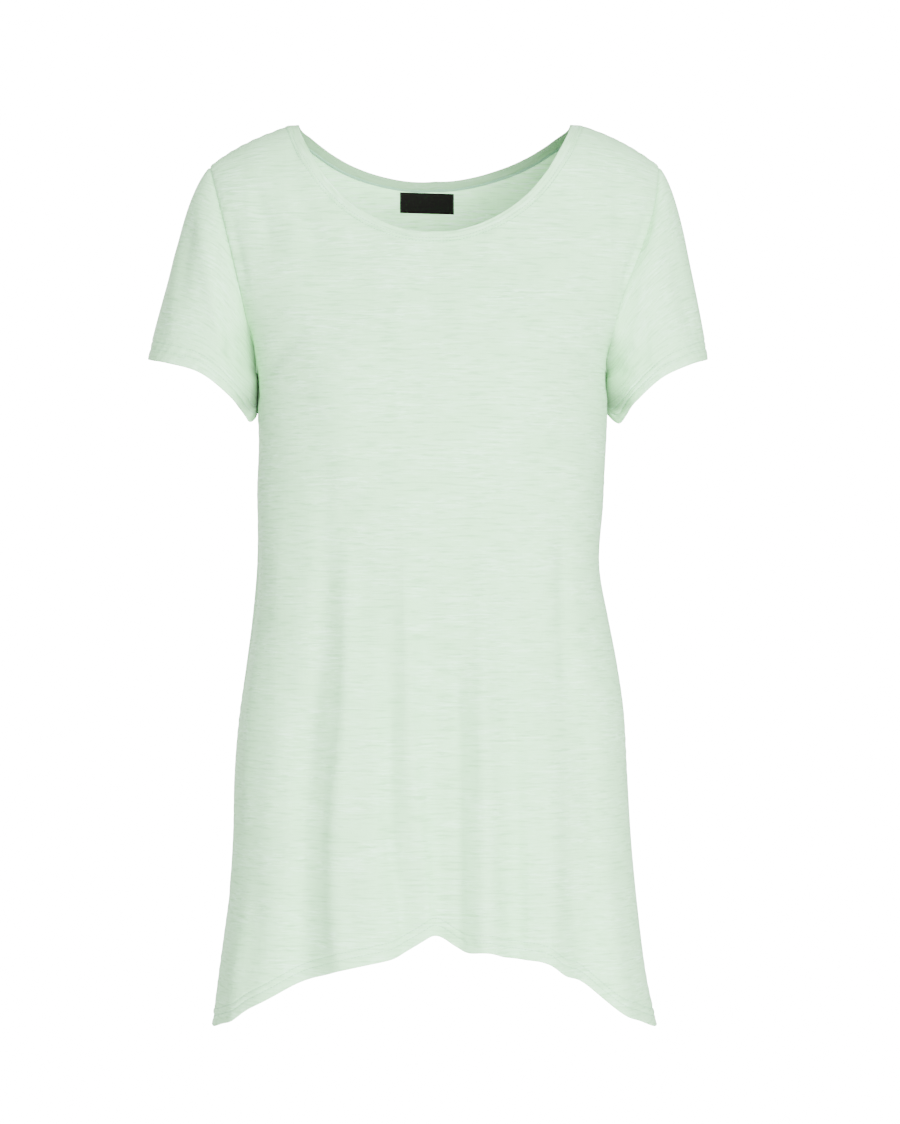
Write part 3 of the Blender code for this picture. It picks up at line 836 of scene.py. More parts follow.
@cache
def sleeve_cut(side, wall, strength):
    """A sleeve with its creases, from the armhole to the cuff."""
    edge, facing = armhole_loop(side)
    end = cuff_loop(side, len(edge))
    start, rim = sleeve_head(side, edge, facing, end - edge)
    run = end - start
    length = np.linalg.norm(run, axis=1, keepdims=True)
    middle = (start + end) / 2
    swell = unit(middle - middle.mean(axis=0))
    top_share = ease((length - length.min()) / (length.max() - length.min()))
    free = length - HEM_ROWS[0] - 1.0
    shares = [q * free / length for q in sorted([*np.linspace(0.0, 1.0, SLEEVE_ROWS + 1), *SLEEVE_EDGE])]
    shares += [(length - above) / length for above in HEM_ROWS]
    rows = []
    for t in shares:
        bulge = SLEEVE_BULGE * 4 * t * (1 - t) + CAP_BULGE * 12 * t * (1 - t) ** 4
        rows.append(start + run * t + bulge * top_share * swell)
    outer = np.array(rows)
    normals = grid_normals(outer, closed=True) * (-1.0 if side == "left" else 1.0)
    normals[0] = rim
    gap = np.array(shares)[..., 0] * length[:, 0]
    around = lengths_along(np.concatenate([outer, outer[:, :1]], axis=1), 1)
    place = outer[..., [0, 2]]
    in_front = ease(0.5 - 1.5 * normals[..., 1])
    rise = crease_sum("sleeve_" + side, place) * in_front
    rise += crease_sum("sleeve_" + side + "_back", place) * (1 - in_front)
    rise = strength * rise * ease(gap / SEAM_FADE)
    rise += seam_rise(gap, around[0][None, :-1])
    above = (1 - np.array(shares)[..., 0]) * length[:, 0]
    rise += hem_rise(above, around[:, :-1])
    thickness = np.full(len(outer), wall)
    thickness[-len(HEM_ROWS) + 1 :] = 2 * wall
    mean = around.mean(axis=0)
    flat = np.stack([np.broadcast_to(mean, around.shape), np.zeros(around.shape)], axis=-1).copy()
    flat[..., 1] = np.concatenate([above, above[:, :1]], axis=1)
    hold = ease(1 - gap / SEAM_HOLD)[..., None]
    lift = unit(facing * hold + normals * (1 - hold))
    bare = outer + lift * rise[..., None]
    # Painted shade: a darker colour in the underarm valleys and along the armhole seam.
    deep = np.maximum(valley_shade(bare), seam_shade(gap))
    return Cut(tuck(valley_push(bare)), normals, thickness, flat, True, deep)


def sheet_object(name, cut, materials, turned_row=None):
    """A closed wall of cloth: the outer face, the same grid moved in by the wall, and the rims between them.

    A second material goes on the inner face or, in a folded strip, on the outer face from turned_row on.
    """
    rows, columns = cut.outer.shape[:2]
    outer = cut.outer.copy()
    depth = cut.facing * cut.wall[:, None, None]
    inner = outer - depth
    outer[-1] -= HEM_ROUND * depth[-1]
    inner[-1] += HEM_ROUND * depth[-1]
    count = rows * columns
    points = np.concatenate([outer.reshape(-1, 3), inner.reshape(-1, 3)]) * METRES
    flat = cut.flat * METRES
    across = columns if cut.closed else columns - 1
    row, column = np.meshgrid(np.arange(rows - 1), np.arange(across), indexing="ij")
    row, column = row.ravel(), column.ravel()
    corners = ((row, column), (row + 1, column), (row + 1, column + 1), (row, column + 1))
    quads = np.stack([r * columns + c % columns for r, c in corners], axis=1)
    places = np.stack([flat[r, c] for r, c in corners], axis=1)
    first = points[quads[0]]
    facing = np.cross(first[1] - first[0], first[3] - first[0])
    rims, rim_places = [], []
    for loop in rim_loops(rows, columns, cut.closed):
        for (r, c), (r2, c2) in zip(loop, loop[1:]):
            a, b = r * columns + c % columns, r2 * columns + c2 % columns
            rims.append((a, b, b + count, a + count))
            rim_places.append((flat[r, c], flat[r2, c2], flat[r2, c2], flat[r, c]))
    faces = np.concatenate([quads, quads[:, ::-1] + count, np.array(rims)])
    places = np.concatenate([places, places[:, ::-1], np.array(rim_places)])
    if np.dot(facing, cut.facing[0, 0]) < 0:
        faces, places = faces[:, ::-1], places[:, ::-1]
    slots = np.zeros(len(faces), int)
    if len(materials) > 1 and turned_row is None:
        slots[len(quads) : 2 * len(quads)] = 1
    elif len(materials) > 1:
        slots[: len(quads)] = row >= turned_row
    piece = mesh_object(name, points, faces, places, materials, slots)
    # The painted shade of the seams and valleys, kept on the points for the cloth's colour.
    deep = piece.data.attributes.new("deep", "FLOAT", "POINT")
    deep.data.foreach_set("value", np.tile(np.clip(cut.deep, 0.0, 1.0).ravel(), 2).astype(np.float32))
    return piece


def rim_loops(rows, columns, closed):
    """Grid places round the open edges of a sheet, with the outer face on the same hand all the way."""
    if closed:
        top = [(0, c) for c in range(columns + 1)]
        low = [(rows - 1, c) for c in range(columns, -1, -1)]
        return top, low
    top = [(0, c) for c in range(columns)]
    right = [(r, columns - 1) for r in range(1, rows)]
    low = [(rows - 1, c) for c in range(columns - 2, -1, -1)]
    left = [(r, 0) for r in range(rows - 2, -1, -1)]
    return (top + right + low + left,)


def mesh_object(name, points, faces, places, materials, slots):
    """An object from points, quads, the flat place of each corner and the material of each face."""
    mesh = bpy.data.meshes.new(name)
    mesh.from_pydata(points.tolist(), [], faces.tolist())
    layer = mesh.uv_layers.new(name="flat")
    layer.data.foreach_set("uv", np.ascontiguousarray(places, dtype=np.float32).ravel())
    for material in materials:
        mesh.materials.append(material)
    mesh.polygons.foreach_set("material_index", slots)
    mesh.shade_smooth()
    mesh.set_sharp_from_angle(angle=math.radians(SHARP_ANGLE))
    piece = bpy.data.objects.new(name, mesh)
    bpy.context.scene.collection.objects.link(piece)
    return piece


def band_places(face, angle, inset, rise):
    """Points beside the neck seam along one face: inset is counted from the neck's edge, rise outward."""
    x, reach = neck_edge(face, angle, inset)
    normal = chest_normal(face, x, reach)
    point = chest_point(face, x, reach)
    ends = np.abs(np.abs(angle) - math.pi / 2) < 1e-6
    normal[ends, 1] = 0.0
    point[ends, 1] = 0.0
    normal = unit(normal)
    return point + normal * np.broadcast_to(rise, angle.shape)[:, None], normal


def band_stations(steps):
    """Face and neck angles, once round from the left neck point."""
    angle = np.linspace(-math.pi / 2, math.pi / 2, steps + 1)[:-1]
    return (("front", angle), ("back", -angle))


def band_section(wall):
    """Half section of the folded strip: distances up from the seam and out, along the middle of its wall."""
    radius = BAND_PROUD - BAND_MIDDLE - wall / 2
    height = BAND_WIDTH - radius - wall / 2 + SEAM_LAP
    shares = np.linspace(0.0, 1.0, BAND_STRAIGHT_POINTS)
    straight = [-SEAM_LAP + height * t for t in shares]
    bow = [BAND_BOW * math.sin(math.pi * t) for t in shares]
    outer = [(up, BAND_MIDDLE + radius + b) for up, b in zip(straight, bow)]
    fold = [
        (straight[-1] + radius * math.sin(a), BAND_MIDDLE + radius * math.cos(a))
        for a in np.linspace(0.0, math.pi, BAND_FOLD_POINTS)[1:-1]
    ]
    inner = [(up, BAND_MIDDLE - radius - b) for up, b in zip(straight[::-1], bow[::-1])]
    return np.array(outer + fold + inner)


@cache
def band_cut(wall):
    """The neck band: one strip folded over the neck's edge, with both its edges at the seam."""
    section = band_section(wall)
    lean = unit(np.gradient(section, axis=0))
    side = np.stack([-lean[:, 1], lean[:, 0]], axis=-1)
    side *= -1.0 if side[0, 1] < 0 else 1.0
    layers = []
    for (up, rise), (out_up, out_rise) in zip(section, side):
        ring_points, ring_facing = [], []
        for face, angle in band_stations(BAND_STEPS):
            wave = BAND_WAVE * np.sin(angle * 31.0 + np.sin(angle * 7.0))
            flare = 1 + NECK_POINT_FLARE * np.exp(-(((np.abs(angle) - math.pi / 2) / NECK_POINT_ANGLE) ** 2))
            mid, _ = band_places(face, angle, BAND_WIDTH - up * flare, rise + wave)
            far, _ = band_places(face, angle, BAND_WIDTH - up * flare - out_up, rise + wave + out_rise)
            ring_points.append(mid)
            ring_facing.append(unit(far - mid))
        layers.append((np.vstack(ring_points), np.vstack(ring_facing)))
    middle = np.array([points for points, _ in layers])
    facing = np.array([normals for _, normals in layers])
    outer = middle + facing * wall / 2
    around = lengths_along(np.concatenate([middle, middle[:, :1]], axis=1), 1).mean(axis=0)
    across = np.concatenate([[0.0], np.cumsum(np.linalg.norm(np.diff(section, axis=0), axis=1))])
    flat = np.stack(np.broadcast_arrays(around[None, :], across[:, None]), axis=-1).copy()
    return Cut(outer, facing, np.full(len(section), wall), flat, True, np.zeros(outer.shape[:2]))


@cache
def label_cut(wall):
    """The woven label on the inner face of the back, its ends folded under."""
    top = NECK_REACH["back"] + BAND_WIDTH + LABEL_BELOW_BAND
    across = LABEL_CENTRE + LABEL_WIDTH * np.linspace(-0.5, 0.5, LABEL_GRID[0])
    down = top + LABEL_HEIGHT * np.linspace(0.0, 1.0, LABEL_GRID[1])
    x, reach = np.meshgrid(across, down)
    ripple = LABEL_RIPPLE * np.sin(x * 0.42 + 0.8) * np.sin((reach - top) * 0.33 + 0.5)
    flat = np.stack([x - LABEL_CENTRE, -(reach - top)], axis=-1)
    reach = reach + crest(x) - crest(LABEL_CENTRE) + LABEL_TILT * (x - LABEL_CENTRE)
    face = chest_point("back", x, reach)
    inward = -chest_normal("back", x, reach)
    shift = np.array([0.0, SIDE_SHIFT, 0.0])
    end_gap = LABEL_WIDTH / 2 - np.abs(x - LABEL_CENTRE)
    fold = LABEL_FOLD_RISE * ease(LABEL_FOLD - end_gap)
    lift = wall + LABEL_GAP + LABEL_CLOTH + fold + ripple
    near = face + shift + inward * lift[..., None]
    return Cut(near, inward, np.full(len(down), LABEL_CLOTH), flat, False, np.zeros(x.shape))


def deselect_all():
    bpy.ops.object.select_all(action="DESELECT")


def stitch_form():
    """One stitch by hand: a six-sided thread of unit length along Z that thins towards its ends."""
    deselect_all()
    bpy.ops.mesh.primitive_cylinder_add(
        vertices=STITCH_SIDES,
        radius=1.0,
        depth=1.0,
        location=(0.0, 0.0, 0.5),
    )
    thread = bpy.context.object
    bpy.ops.object.transform_apply(location=True, rotation=False, scale=False)
    bpy.ops.object.mode_set(mode="EDIT")
    mesh = bmesh.from_edit_mesh(thread.data)
    for edge in mesh.edges:
        edge.select_set(abs(edge.verts[0].co.z - edge.verts[1].co.z) > 0.5)
    bmesh.update_edit_mesh(thread.data)
    bpy.ops.mesh.subdivide(number_cuts=2)
    bpy.ops.mesh.select_all(action="DESELECT")
    mesh = bmesh.from_edit_mesh(thread.data)
    for end in (0.0, 1.0):
        for vert in mesh.verts:
            vert.select_set(abs(vert.co.z - end) < 1e-4)
        mesh.select_flush(True)
        bmesh.update_edit_mesh(thread.data)
        bpy.ops.transform.resize(value=(0.5, 0.5, 1.0), center_override=(0.0, 0.0, end))
        bpy.ops.mesh.select_all(action="DESELECT")
        mesh = bmesh.from_edit_mesh(thread.data)
    bpy.ops.object.mode_set(mode="OBJECT")
    points = np.array([vert.co[:] for vert in thread.data.vertices])
    faces = [list(polygon.vertices) for polygon in thread.data.polygons]
    bpy.data.objects.remove(thread)
    return points, faces


def even_path(points, normals, pitch, closed):
    """Points and normals at even steps along a line."""
    if closed:
        points = np.vstack([points, points[:1]])
        normals = np.vstack([normals, normals[:1]])
    steps = np.linalg.norm(np.diff(points, axis=0), axis=1)
    along = np.concatenate([[0.0], np.cumsum(steps)])
    count = max(2, round(along[-1] / pitch))
    at = np.linspace(0.0, along[-1], count + 1)
    place = np.stack([np.interp(at, along, points[:, k]) for k in range(3)], axis=-1)
    facing = np.stack([np.interp(at, along, normals[:, k]) for k in range(3)], axis=-1)
    return place, unit(facing)


def run_stitches(points, normals, sewing, closed=False):
    """Starts, ends and normals of a straight run of stitches."""
    place, facing = even_path(points, normals, sewing.pitch / METRES, closed)
    share = sewing.length / sewing.pitch
    step = place[1:] - place[:-1]
    return place[:-1], place[:-1] + step * share, facing[:-1]


def cross_stitches(near, far, normals, pitch, closed):
    """Starts, ends and normals of slanting ticks from one line to another."""
    first, facing = even_path(near, normals, pitch, closed)
    second, _ = even_path(far, normals, pitch, closed)
    count = min(len(first), len(second)) - 1
    return first[:count], second[1 : count + 1], facing[:count]


def stitch_object(name, runs, sewing, form, material):
    """All the stitches of a piece, each a copy of the one form laid between its ends."""
    shape, faces = form
    radius = sewing.thread / 2 / METRES
    starts, ends, normals = (np.vstack([run[k] for run in runs]) for k in range(3))
    step = ends - starts
    side = unit(np.cross(step, normals))
    up = unit(np.cross(side, step))
    share = shape[:, 2][None, :, None]
    arch = radius * (1.5 * 4 * share * (1 - share) - 0.5)
    points = starts[:, None] + step[:, None] * share
    points = points + side[:, None] * shape[:, 0][None, :, None] * radius
    points = points + up[:, None] * (shape[:, 1][None, :, None] * radius + arch)
    count = len(shape)
    every = [[k * count + v for v in face] for k in range(len(starts)) for face in faces]
    mesh = bpy.data.meshes.new(name)
    mesh.from_pydata((points.reshape(-1, 3) * METRES).tolist(), [], every)
    mesh.materials.append(material)
    tidy = bmesh.new()
    tidy.from_mesh(mesh)
    bmesh.ops.recalc_face_normals(tidy, faces=tidy.faces)
    tidy.to_mesh(mesh)
    tidy.free()
    mesh.shade_smooth()
    piece = bpy.data.objects.new(name, mesh)
    bpy.context.scene.collection.objects.link(piece)
    return piece


def hem_runs(cut, sewing):
    """Two needle lines outside a hem and the looper thread inside."""
    rows = {above: len(cut.outer) - len(HEM_ROWS) + HEM_ROWS.index(above) for above in STITCH_LINES}
    runs = [run_stitches(cut.outer[row], cut.facing[row], sewing, cut.closed) for row in rows.values()]
    inner = [cut.outer[row] - cut.facing[row] * cut.wall[row] for row in rows.values()]
    inward = -cut.facing[rows[STITCH_LINES[0]]]
    runs.append(cross_stitches(inner[0], inner[1], inward, sewing.pitch / METRES, cut.closed))
    return runs


def neck_runs(face_steps, sewing, wall):
    """Needle lines either side of the neck seam, and the ticks of the seam inside."""
    runs = []
    stations = band_stations(face_steps)
    for line in NECK_LINES:
        rise = BAND_PROUD if line < 0 else 0.0
        sides = [band_places(face, angle, BAND_WIDTH + line, rise) for face, angle in stations]
        points, normals = (np.vstack([part[k] for part in sides]) for k in (0, 1))
        runs.append(run_stitches(points, normals, sewing, closed=True))
    low, high = TICK_REACH
    below = [band_places(face, angle, BAND_WIDTH + low, -wall) for face, angle in stations]
    inside = 2 * BAND_MIDDLE - BAND_PROUD
    above = [band_places(face, angle, BAND_WIDTH + high, inside) for face, angle in stations]
    near, normals = (np.vstack([part[k] for part in below]) for k in (0, 1))
    far = np.vstack([part[0] for part in above])
    runs.append(cross_stitches(near, far, -normals, TICK_PITCH, closed=True))
    return runs


def label_runs(cut, sewing):
    """A stitch line along each end of the label."""
    runs = []
    for column in (1, -2):
        runs.append(run_stitches(cut.outer[1:-1, column], cut.facing[1:-1, column], sewing))
    return runs


def new_material(name, roughness, sheen=0.0, specular=0.3):
    material = bpy.data.materials.new(name)
    material.use_nodes = True
    shader = material.node_tree.nodes["Principled BSDF"]
    shader.inputs["Roughness"].default_value = roughness
    shader.inputs["Specular IOR Level"].default_value = specular
    shader.inputs["Sheen Weight"].default_value = sheen
    shader.inputs["Sheen Roughness"].default_value = 0.5
    return material, material.node_tree, shader


def add_node(tree, kind, **values):
    node = tree.nodes.new(kind)
    for key, value in values.items():
        if key in node.inputs:
            node.inputs[key].default_value = value
        else:
            setattr(node, key, value)
    return node


def streaks(tree, place, scale, low, high, detail=2.0):
    """A mask of drawn-out noise: scale is how often it changes across and along, in each metre."""
    mapping = add_node(tree, "ShaderNodeMapping")
    mapping.inputs["Scale"].default_value = (*scale, 1.0)
    tree.links.new(place, mapping.inputs["Vector"])
    noise = add_node(tree, "ShaderNodeTexNoise", Scale=1.0, Detail=detail, Roughness=0.55)
    tree.links.new(mapping.outputs["Vector"], noise.inputs["Vector"])
    ramp = add_node(tree, "ShaderNodeMapRange")
    ramp.inputs["From Min"].default_value = low
    ramp.inputs["From Max"].default_value = high
    tree.links.new(noise.outputs["Fac"], ramp.inputs["Value"])
    return ramp.outputs["Result"]


def masked(tree, first, second):
    """Where both masks are strong."""
    product = add_node(tree, "ShaderNodeMath", operation="MULTIPLY")
    tree.links.new(first, product.inputs[0])
    tree.links.new(second, product.inputs[1])
    return product.outputs[0]


def mix_colour(tree, factor, share, first, second):
    """First colour with as much of the second as share times the factor."""
    amount = add_node(tree, "ShaderNodeMath", operation="MULTIPLY")
    tree.links.new(factor, amount.inputs[0])
    amount.inputs[1].default_value = share
    mix = add_node(tree, "ShaderNodeMix", data_type="RGBA")
    tree.links.new(amount.outputs[0], mix.inputs[0])
    for colour, slot in ((first, 6), (second, 7)):
        if hasattr(colour, "links"):
            tree.links.new(colour, mix.inputs[slot])
        else:
            mix.inputs[slot].default_value = (*colour, 1.0)
    return mix.outputs[2]


def add_bump(tree, shader, heights, distance):
    """Bumps from several masks, each with its own strength."""
    normal = None
    for height, strength in heights:
        bump = add_node(tree, "ShaderNodeBump", Strength=strength, Distance=distance)
        tree.links.new(height, bump.inputs["Height"])
        if normal is not None:
            tree.links.new(normal, bump.inputs["Normal"])
        normal = bump.outputs["Normal"]
    tree.links.new(normal, shader.inputs["Normal"])


def jersey_material(name, colours, tone, contrast):
    """Slub jersey: uneven yarn draws thin lighter and darker streaks along the courses, over faint wales."""
    material, tree, shader = new_material(name, 0.9, sheen=0.05, specular=0.15)
    ground, shade, slub, thin = (
        tuple(min(PALEST, tone * c) for c in colour)
        for colour in (colours.jersey, colours.shade, colours.slub, colours.thin)
    )
    place = add_node(tree, "ShaderNodeTexCoord").outputs["UV"]
    masks = {key: streaks(tree, place, *row) for key, row in JERSEY_MASKS.items()}
    for slubs in ("long slubs", "short slubs"):
        masks[slubs] = masked(tree, masks[slubs], masks["patches"])
    yarns = {"shade": shade, "slub": slub, "thin": thin}
    colour = ground
    for mask, share, yarn, varies in JERSEY_YARNS:
        amount = min(1.0, share * contrast) if varies else share
        colour = mix_colour(tree, masks[mask], amount, colour, yarns[yarn])
    # Painted shade: the deep attribute mixes the deep shade colour into the cloth in the seams and valleys.
    deep = add_node(tree, "ShaderNodeAttribute", attribute_name="deep").outputs["Fac"]
    colour = mix_colour(tree, deep, 1.0, colour, tuple(colours.deep))
    tree.links.new(colour, shader.inputs["Base Color"])
    heights = [(masks[mask], strength) for mask, strength in JERSEY_BUMPS.items()]
    add_bump(tree, shader, heights, JERSEY_BUMP_HEIGHT)
    return material


def thread_material(name, colour, shade):
    """Spun polyester thread with fine uneven plies."""
    material, tree, shader = new_material(name, 0.55, sheen=0.2, specular=0.4)
    place = add_node(tree, "ShaderNodeTexCoord").outputs["Object"]
    plies = streaks(tree, place, (2600.0, 2600.0), 0.35, 0.65)
    tree.links.new(mix_colour(tree, plies, 0.5, colour, shade), shader.inputs["Base Color"])
    add_bump(tree, shader, ((plies, 0.4),), 0.0001)
    return material


def label_material(name, colour, shade):
    """Close black weave: fine ribs along the label, crossed by finer ones."""
    material, tree, shader = new_material(name, 0.8, specular=0.05)
    place = add_node(tree, "ShaderNodeTexCoord").outputs["UV"]
    ribs = add_node(tree, "ShaderNodeTexWave", bands_direction="Y", Scale=620.0, Distortion=0.4, Detail=1.0)
    cross = add_node(tree, "ShaderNodeTexWave", bands_direction="X", Scale=480.0, Distortion=0.3, Detail=1.0)
    for wave in (ribs, cross):
        tree.links.new(place, wave.inputs["Vector"])
    lint = streaks(tree, place, (300.0, 1400.0), 0.5, 0.75)
    weave = mix_colour(tree, ribs.outputs["Fac"], 0.6, colour, shade)
    weave = mix_colour(tree, cross.outputs["Fac"], 0.25, weave, shade)
    weave = mix_colour(tree, lint, 0.3, weave, shade)
    tree.links.new(weave, shader.inputs["Base Color"])
    add_bump(tree, shader, ((ribs.outputs["Fac"], 0.5), (cross.outputs["Fac"], 0.3)), 0.00012)
    return material


def stage_material(name, colour):
    material, tree, shader = new_material(name, 0.9, specular=0.1)
    place = add_node(tree, "ShaderNodeTexCoord").outputs["Object"]
    grain = streaks(tree, place, (3.0, 3.0), 0.3, 0.7)
    paler = tuple(min(1.0, c * 1.02) for c in colour)
    tree.links.new(mix_colour(tree, grain, 1.0, colour, paler), shader.inputs["Base Color"])
    return material


def shared(name, make, *values):
    """A material that is made once and then used again."""
    return bpy.data.materials.get(name) or make(name, *values)


def jersey(colours):
    """The face of the jersey and its reverse, where the slubs stand out more and the paler colour is painted
    light that shines through the thin cloth.
    """
    face = shared("slub_jersey_cloth", jersey_material, colours, 1.0, 1.0)
    # The reverse is 1.2 times paler as painted light through the cloth, and its slubs 2.4 times stronger.
    return [face, shared("slub_jersey_reverse", jersey_material, colours, 1.2, 2.4)]


def band_jersey(colours):
    """The face of the jersey, and a darker copy of it as painted shade on the inner half of the neck band.
    """
    face = shared("slub_jersey_cloth", jersey_material, colours, 1.0, 1.0)
    return [face, shared("slub_jersey_double", jersey_material, colours, colours.double, 0.6)]


def sewing_thread(colours):
    return shared("sewing_thread", thread_material, tuple(colours.thread), tuple(colours.shade))


def finish_sheet(piece, node, stitches):
    """Attaches a sheet and its stitches to the root body and hides the model's part that the sheet replaces.
    """
    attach(piece, "root")
    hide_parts(node)
    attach(stitches, "root")


def hemmed_sheet(scene, node, cut, form):
    """A panel or a sleeve of jersey with the stitching of its hem."""
    sewing = scene.shirt_sewing
    piece = sheet_object(node + "_cloth", cut, jersey(scene.shirt_colours))
    runs = hem_runs(cut, sewing)
    thread = sewing_thread(scene.shirt_colours)
    stitches = stitch_object(node + "_stitches", runs, sewing, form, thread)
    finish_sheet(piece, node, stitches)


class ShirtCloth(bpy.types.PropertyGroup):
    """Sizes of the cloth."""

    wall: bpy.props.FloatProperty(
        name="Cloth wall",
        description="Thickness of one layer of jersey",
        default=0.0009,
        min=0.0004,
        max=0.001,
        precision=4,
        unit="LENGTH",
    )
    crease_strength: bpy.props.FloatProperty(
        name="Crease strength",
        description="How deep the creases are, beside those of the photographed garment",
        default=1.0,
        min=0.0,
        max=1.5,
        subtype="FACTOR",
    )


class ShirtSewing(bpy.types.PropertyGroup):
    """Sizes of the sewing."""

    thread: bpy.props.FloatProperty(
        name="Thread",
        description="Diameter of the sewing thread",
        default=0.00042,
        min=0.0001,
        max=0.001,
        precision=5,
        unit="LENGTH",
    )
    pitch: bpy.props.FloatProperty(
        name="Pitch",
        description="Distance from one stitch to the next",
        default=0.0029,
        min=0.0015,
        max=0.006,
        precision=4,
        unit="LENGTH",
    )
    length: bpy.props.FloatProperty(
        name="Stitch",
        description="Length of the thread that shows in one stitch",
        default=0.0023,
        min=0.001,
        max=0.005,
        precision=4,
        unit="LENGTH",
    )


class ShirtColours(bpy.types.PropertyGroup):
    """Colours of the cloth, the thread and the label."""

    jersey: bpy.props.FloatVectorProperty(
        name="Jersey",
        description="Main colour of the cloth",
        default=(0.425, 0.785, 0.43),
        subtype="COLOR",
        size=3,
        min=0.0,
        max=1.0,
    )
    shade: bpy.props.FloatVectorProperty(
        name="Shade",
        description="Slightly deeper colour that clouds the cloth and draws its wales",
        default=(0.365, 0.71, 0.38),
        subtype="COLOR",
        size=3,
        min=0.0,
        max=1.0,
    )
    slub: bpy.props.FloatVectorProperty(
        name="Slub",
        description="Paler colour of the thick places in the yarn",
        default=(0.55, 0.90, 0.61),
        subtype="COLOR",
        size=3,
        min=0.0,
        max=1.0,
    )
    thin: bpy.props.FloatVectorProperty(
        name="Thin yarn",
        description="Deeper colour of the thin places in the yarn",
        default=(0.29, 0.61, 0.295),
        subtype="COLOR",
        size=3,
        min=0.0,
        max=1.0,
    )
    # Painted shade colour, mixed into the cloth in the seams and the valleys between body and sleeve.
    deep: bpy.props.FloatVectorProperty(
        name="Deep shade",
        description="Painted shade colour in the seams and deep between body and sleeve",
        default=(0.055, 0.1, 0.056),
        subtype="COLOR",
        size=3,
        min=0.0,
        max=1.0,
    )
    # Painted shade: how dark the inner half of the neck band is beside the rest of the jersey.
    double: bpy.props.FloatProperty(
        name="Painted band shade",
        description="Tone of the painted shade on the inner half of the neck band beside the rest of the jersey",
        default=0.5,
        min=0.2,
        max=1.0,
        subtype="FACTOR",
    )
    thread: bpy.props.FloatVectorProperty(
        name="Thread",
        description="Colour of the sewing thread",
        default=(0.13, 0.31, 0.22),
        subtype="COLOR",
        size=3,
        min=0.0,
        max=1.0,
    )
    label: bpy.props.FloatVectorProperty(
        name="Label",
        description="Colour of the woven label",
        default=(0.0025, 0.0025, 0.002),
        subtype="COLOR",
        size=3,
        min=0.0,
        max=1.0,
    )
    label_high: bpy.props.FloatVectorProperty(
        name="Label ribs",
        description="Colour of the raised threads of the label",
        default=(0.007, 0.007, 0.006),
        subtype="COLOR",
        size=3,
        min=0.0,
        max=1.0,
    )


class ShirtStage(bpy.types.PropertyGroup):
    """The floor, the lights and the camera."""

    floor_height: bpy.props.FloatProperty(
        name="Floor height",
        description="Height of the floor under the garment's origin",
        default=-1.25,
        unit="LENGTH",
    )
    floor_size: bpy.props.FloatProperty(
        name="Floor size",
        description="Length of each side of the floor",
        default=2.4,
        unit="LENGTH",
    )
    floor_colour: bpy.props.FloatVectorProperty(
        name="Floor",
        description="Colour of the floor",
        default=(0.9, 0.9, 0.9),
        subtype="COLOR",
        size=3,
        min=0.0,
        max=1.0,
    )
    surround: bpy.props.FloatProperty(
        name="Surround",
        description="Strength of the pale surround",
        default=1.3,
        min=0.0,
    )
    surround_low: bpy.props.FloatProperty(
        name="Surround below",
        description="Strength of the surround straight below the garment",
        default=0.6,
        min=0.0,
    )
    backdrop: bpy.props.FloatProperty(
        name="Backdrop",
        description="Strength of the white backdrop that the camera sees behind the garment",
        default=17.0,
        min=0.0,
    )
    key: bpy.props.FloatProperty(
        name="Key light",
        description="Power of the main soft light",
        default=372.0,
        min=0.0,
        unit="POWER",
    )
    fill: bpy.props.FloatProperty(
        name="Fill light",
        description="Power of the softer light from the other side",
        default=75.0,
        min=0.0,
        unit="POWER",
    )
    back: bpy.props.FloatProperty(
        name="Back light",
        description="Power of the soft light behind the garment",
        default=150.0,
        min=0.0,
        unit="POWER",
    )
    camera_distance: bpy.props.FloatProperty(
        name="Camera distance",
        description="Distance of the camera in front of the garment's origin",
        default=3.5,
        unit="LENGTH",
    )
    frame_width: bpy.props.FloatProperty(
        name="Frame width",
        description="Width of the picture at the garment's origin",
        default=0.783,
        unit="LENGTH",
    )


class SHIRT_OT_panels(bpy.types.Operator):
    """Builds the front and the back with their creases, hems and hem stitching"""

    bl_idname = "shirt.panels"
    bl_label = "Front and back"

    flats = {"front": ((0.588, 0.815), 0.316), "back": ((0.557, 0.815), 0.312)}

    def execute(self, context):
        cloth = context.scene.shirt_cloth
        form = stitch_form()
        for face in ("front", "back"):
            cut = panel_cut(face, cloth.wall / METRES, cloth.crease_strength)
            hemmed_sheet(context.scene, face, cut, form)
        return {"FINISHED"}


class SHIRT_OT_sleeves(bpy.types.Operator):
    """Builds the two set-in sleeves with their creases, cuffs and cuff stitching"""

    bl_idname = "shirt.sleeves"
    bl_label = "Sleeves"

    flats = {"left": ((0.372, 0.176), 0.035), "right": ((0.373, 0.173), 0.033)}

    def execute(self, context):
        cloth = context.scene.shirt_cloth
        form = stitch_form()
        for side in ("left", "right"):
            cut = sleeve_cut(side, cloth.wall / METRES, cloth.crease_strength)
            hemmed_sheet(context.scene, "sleeve_" + side, cut, form)
        return {"FINISHED"}


class SHIRT_OT_neck_band(bpy.types.Operator):
    """Builds the folded neck band and the sewing along its seam"""

    bl_idname = "shirt.neck_band"
    bl_label = "Neck band"

    flat = ((0.755, 0.0165), None)

    def execute(self, context):
        scene = context.scene
        cloth_wall = scene.shirt_cloth.wall / METRES
        cut = band_cut(BAND_CLOTH_SHARE * cloth_wall)
        piece = sheet_object("neck_band_cloth", cut, band_jersey(scene.shirt_colours), len(cut.outer) // 2)
        runs = neck_runs(NECK_SEWING_STEPS, scene.shirt_sewing, cloth_wall)
        thread = sewing_thread(scene.shirt_colours)
        stitches = stitch_object("neck_stitches", runs, scene.shirt_sewing, stitch_form(), thread)
        finish_sheet(piece, "neck_band", stitches)
        return {"FINISHED"}


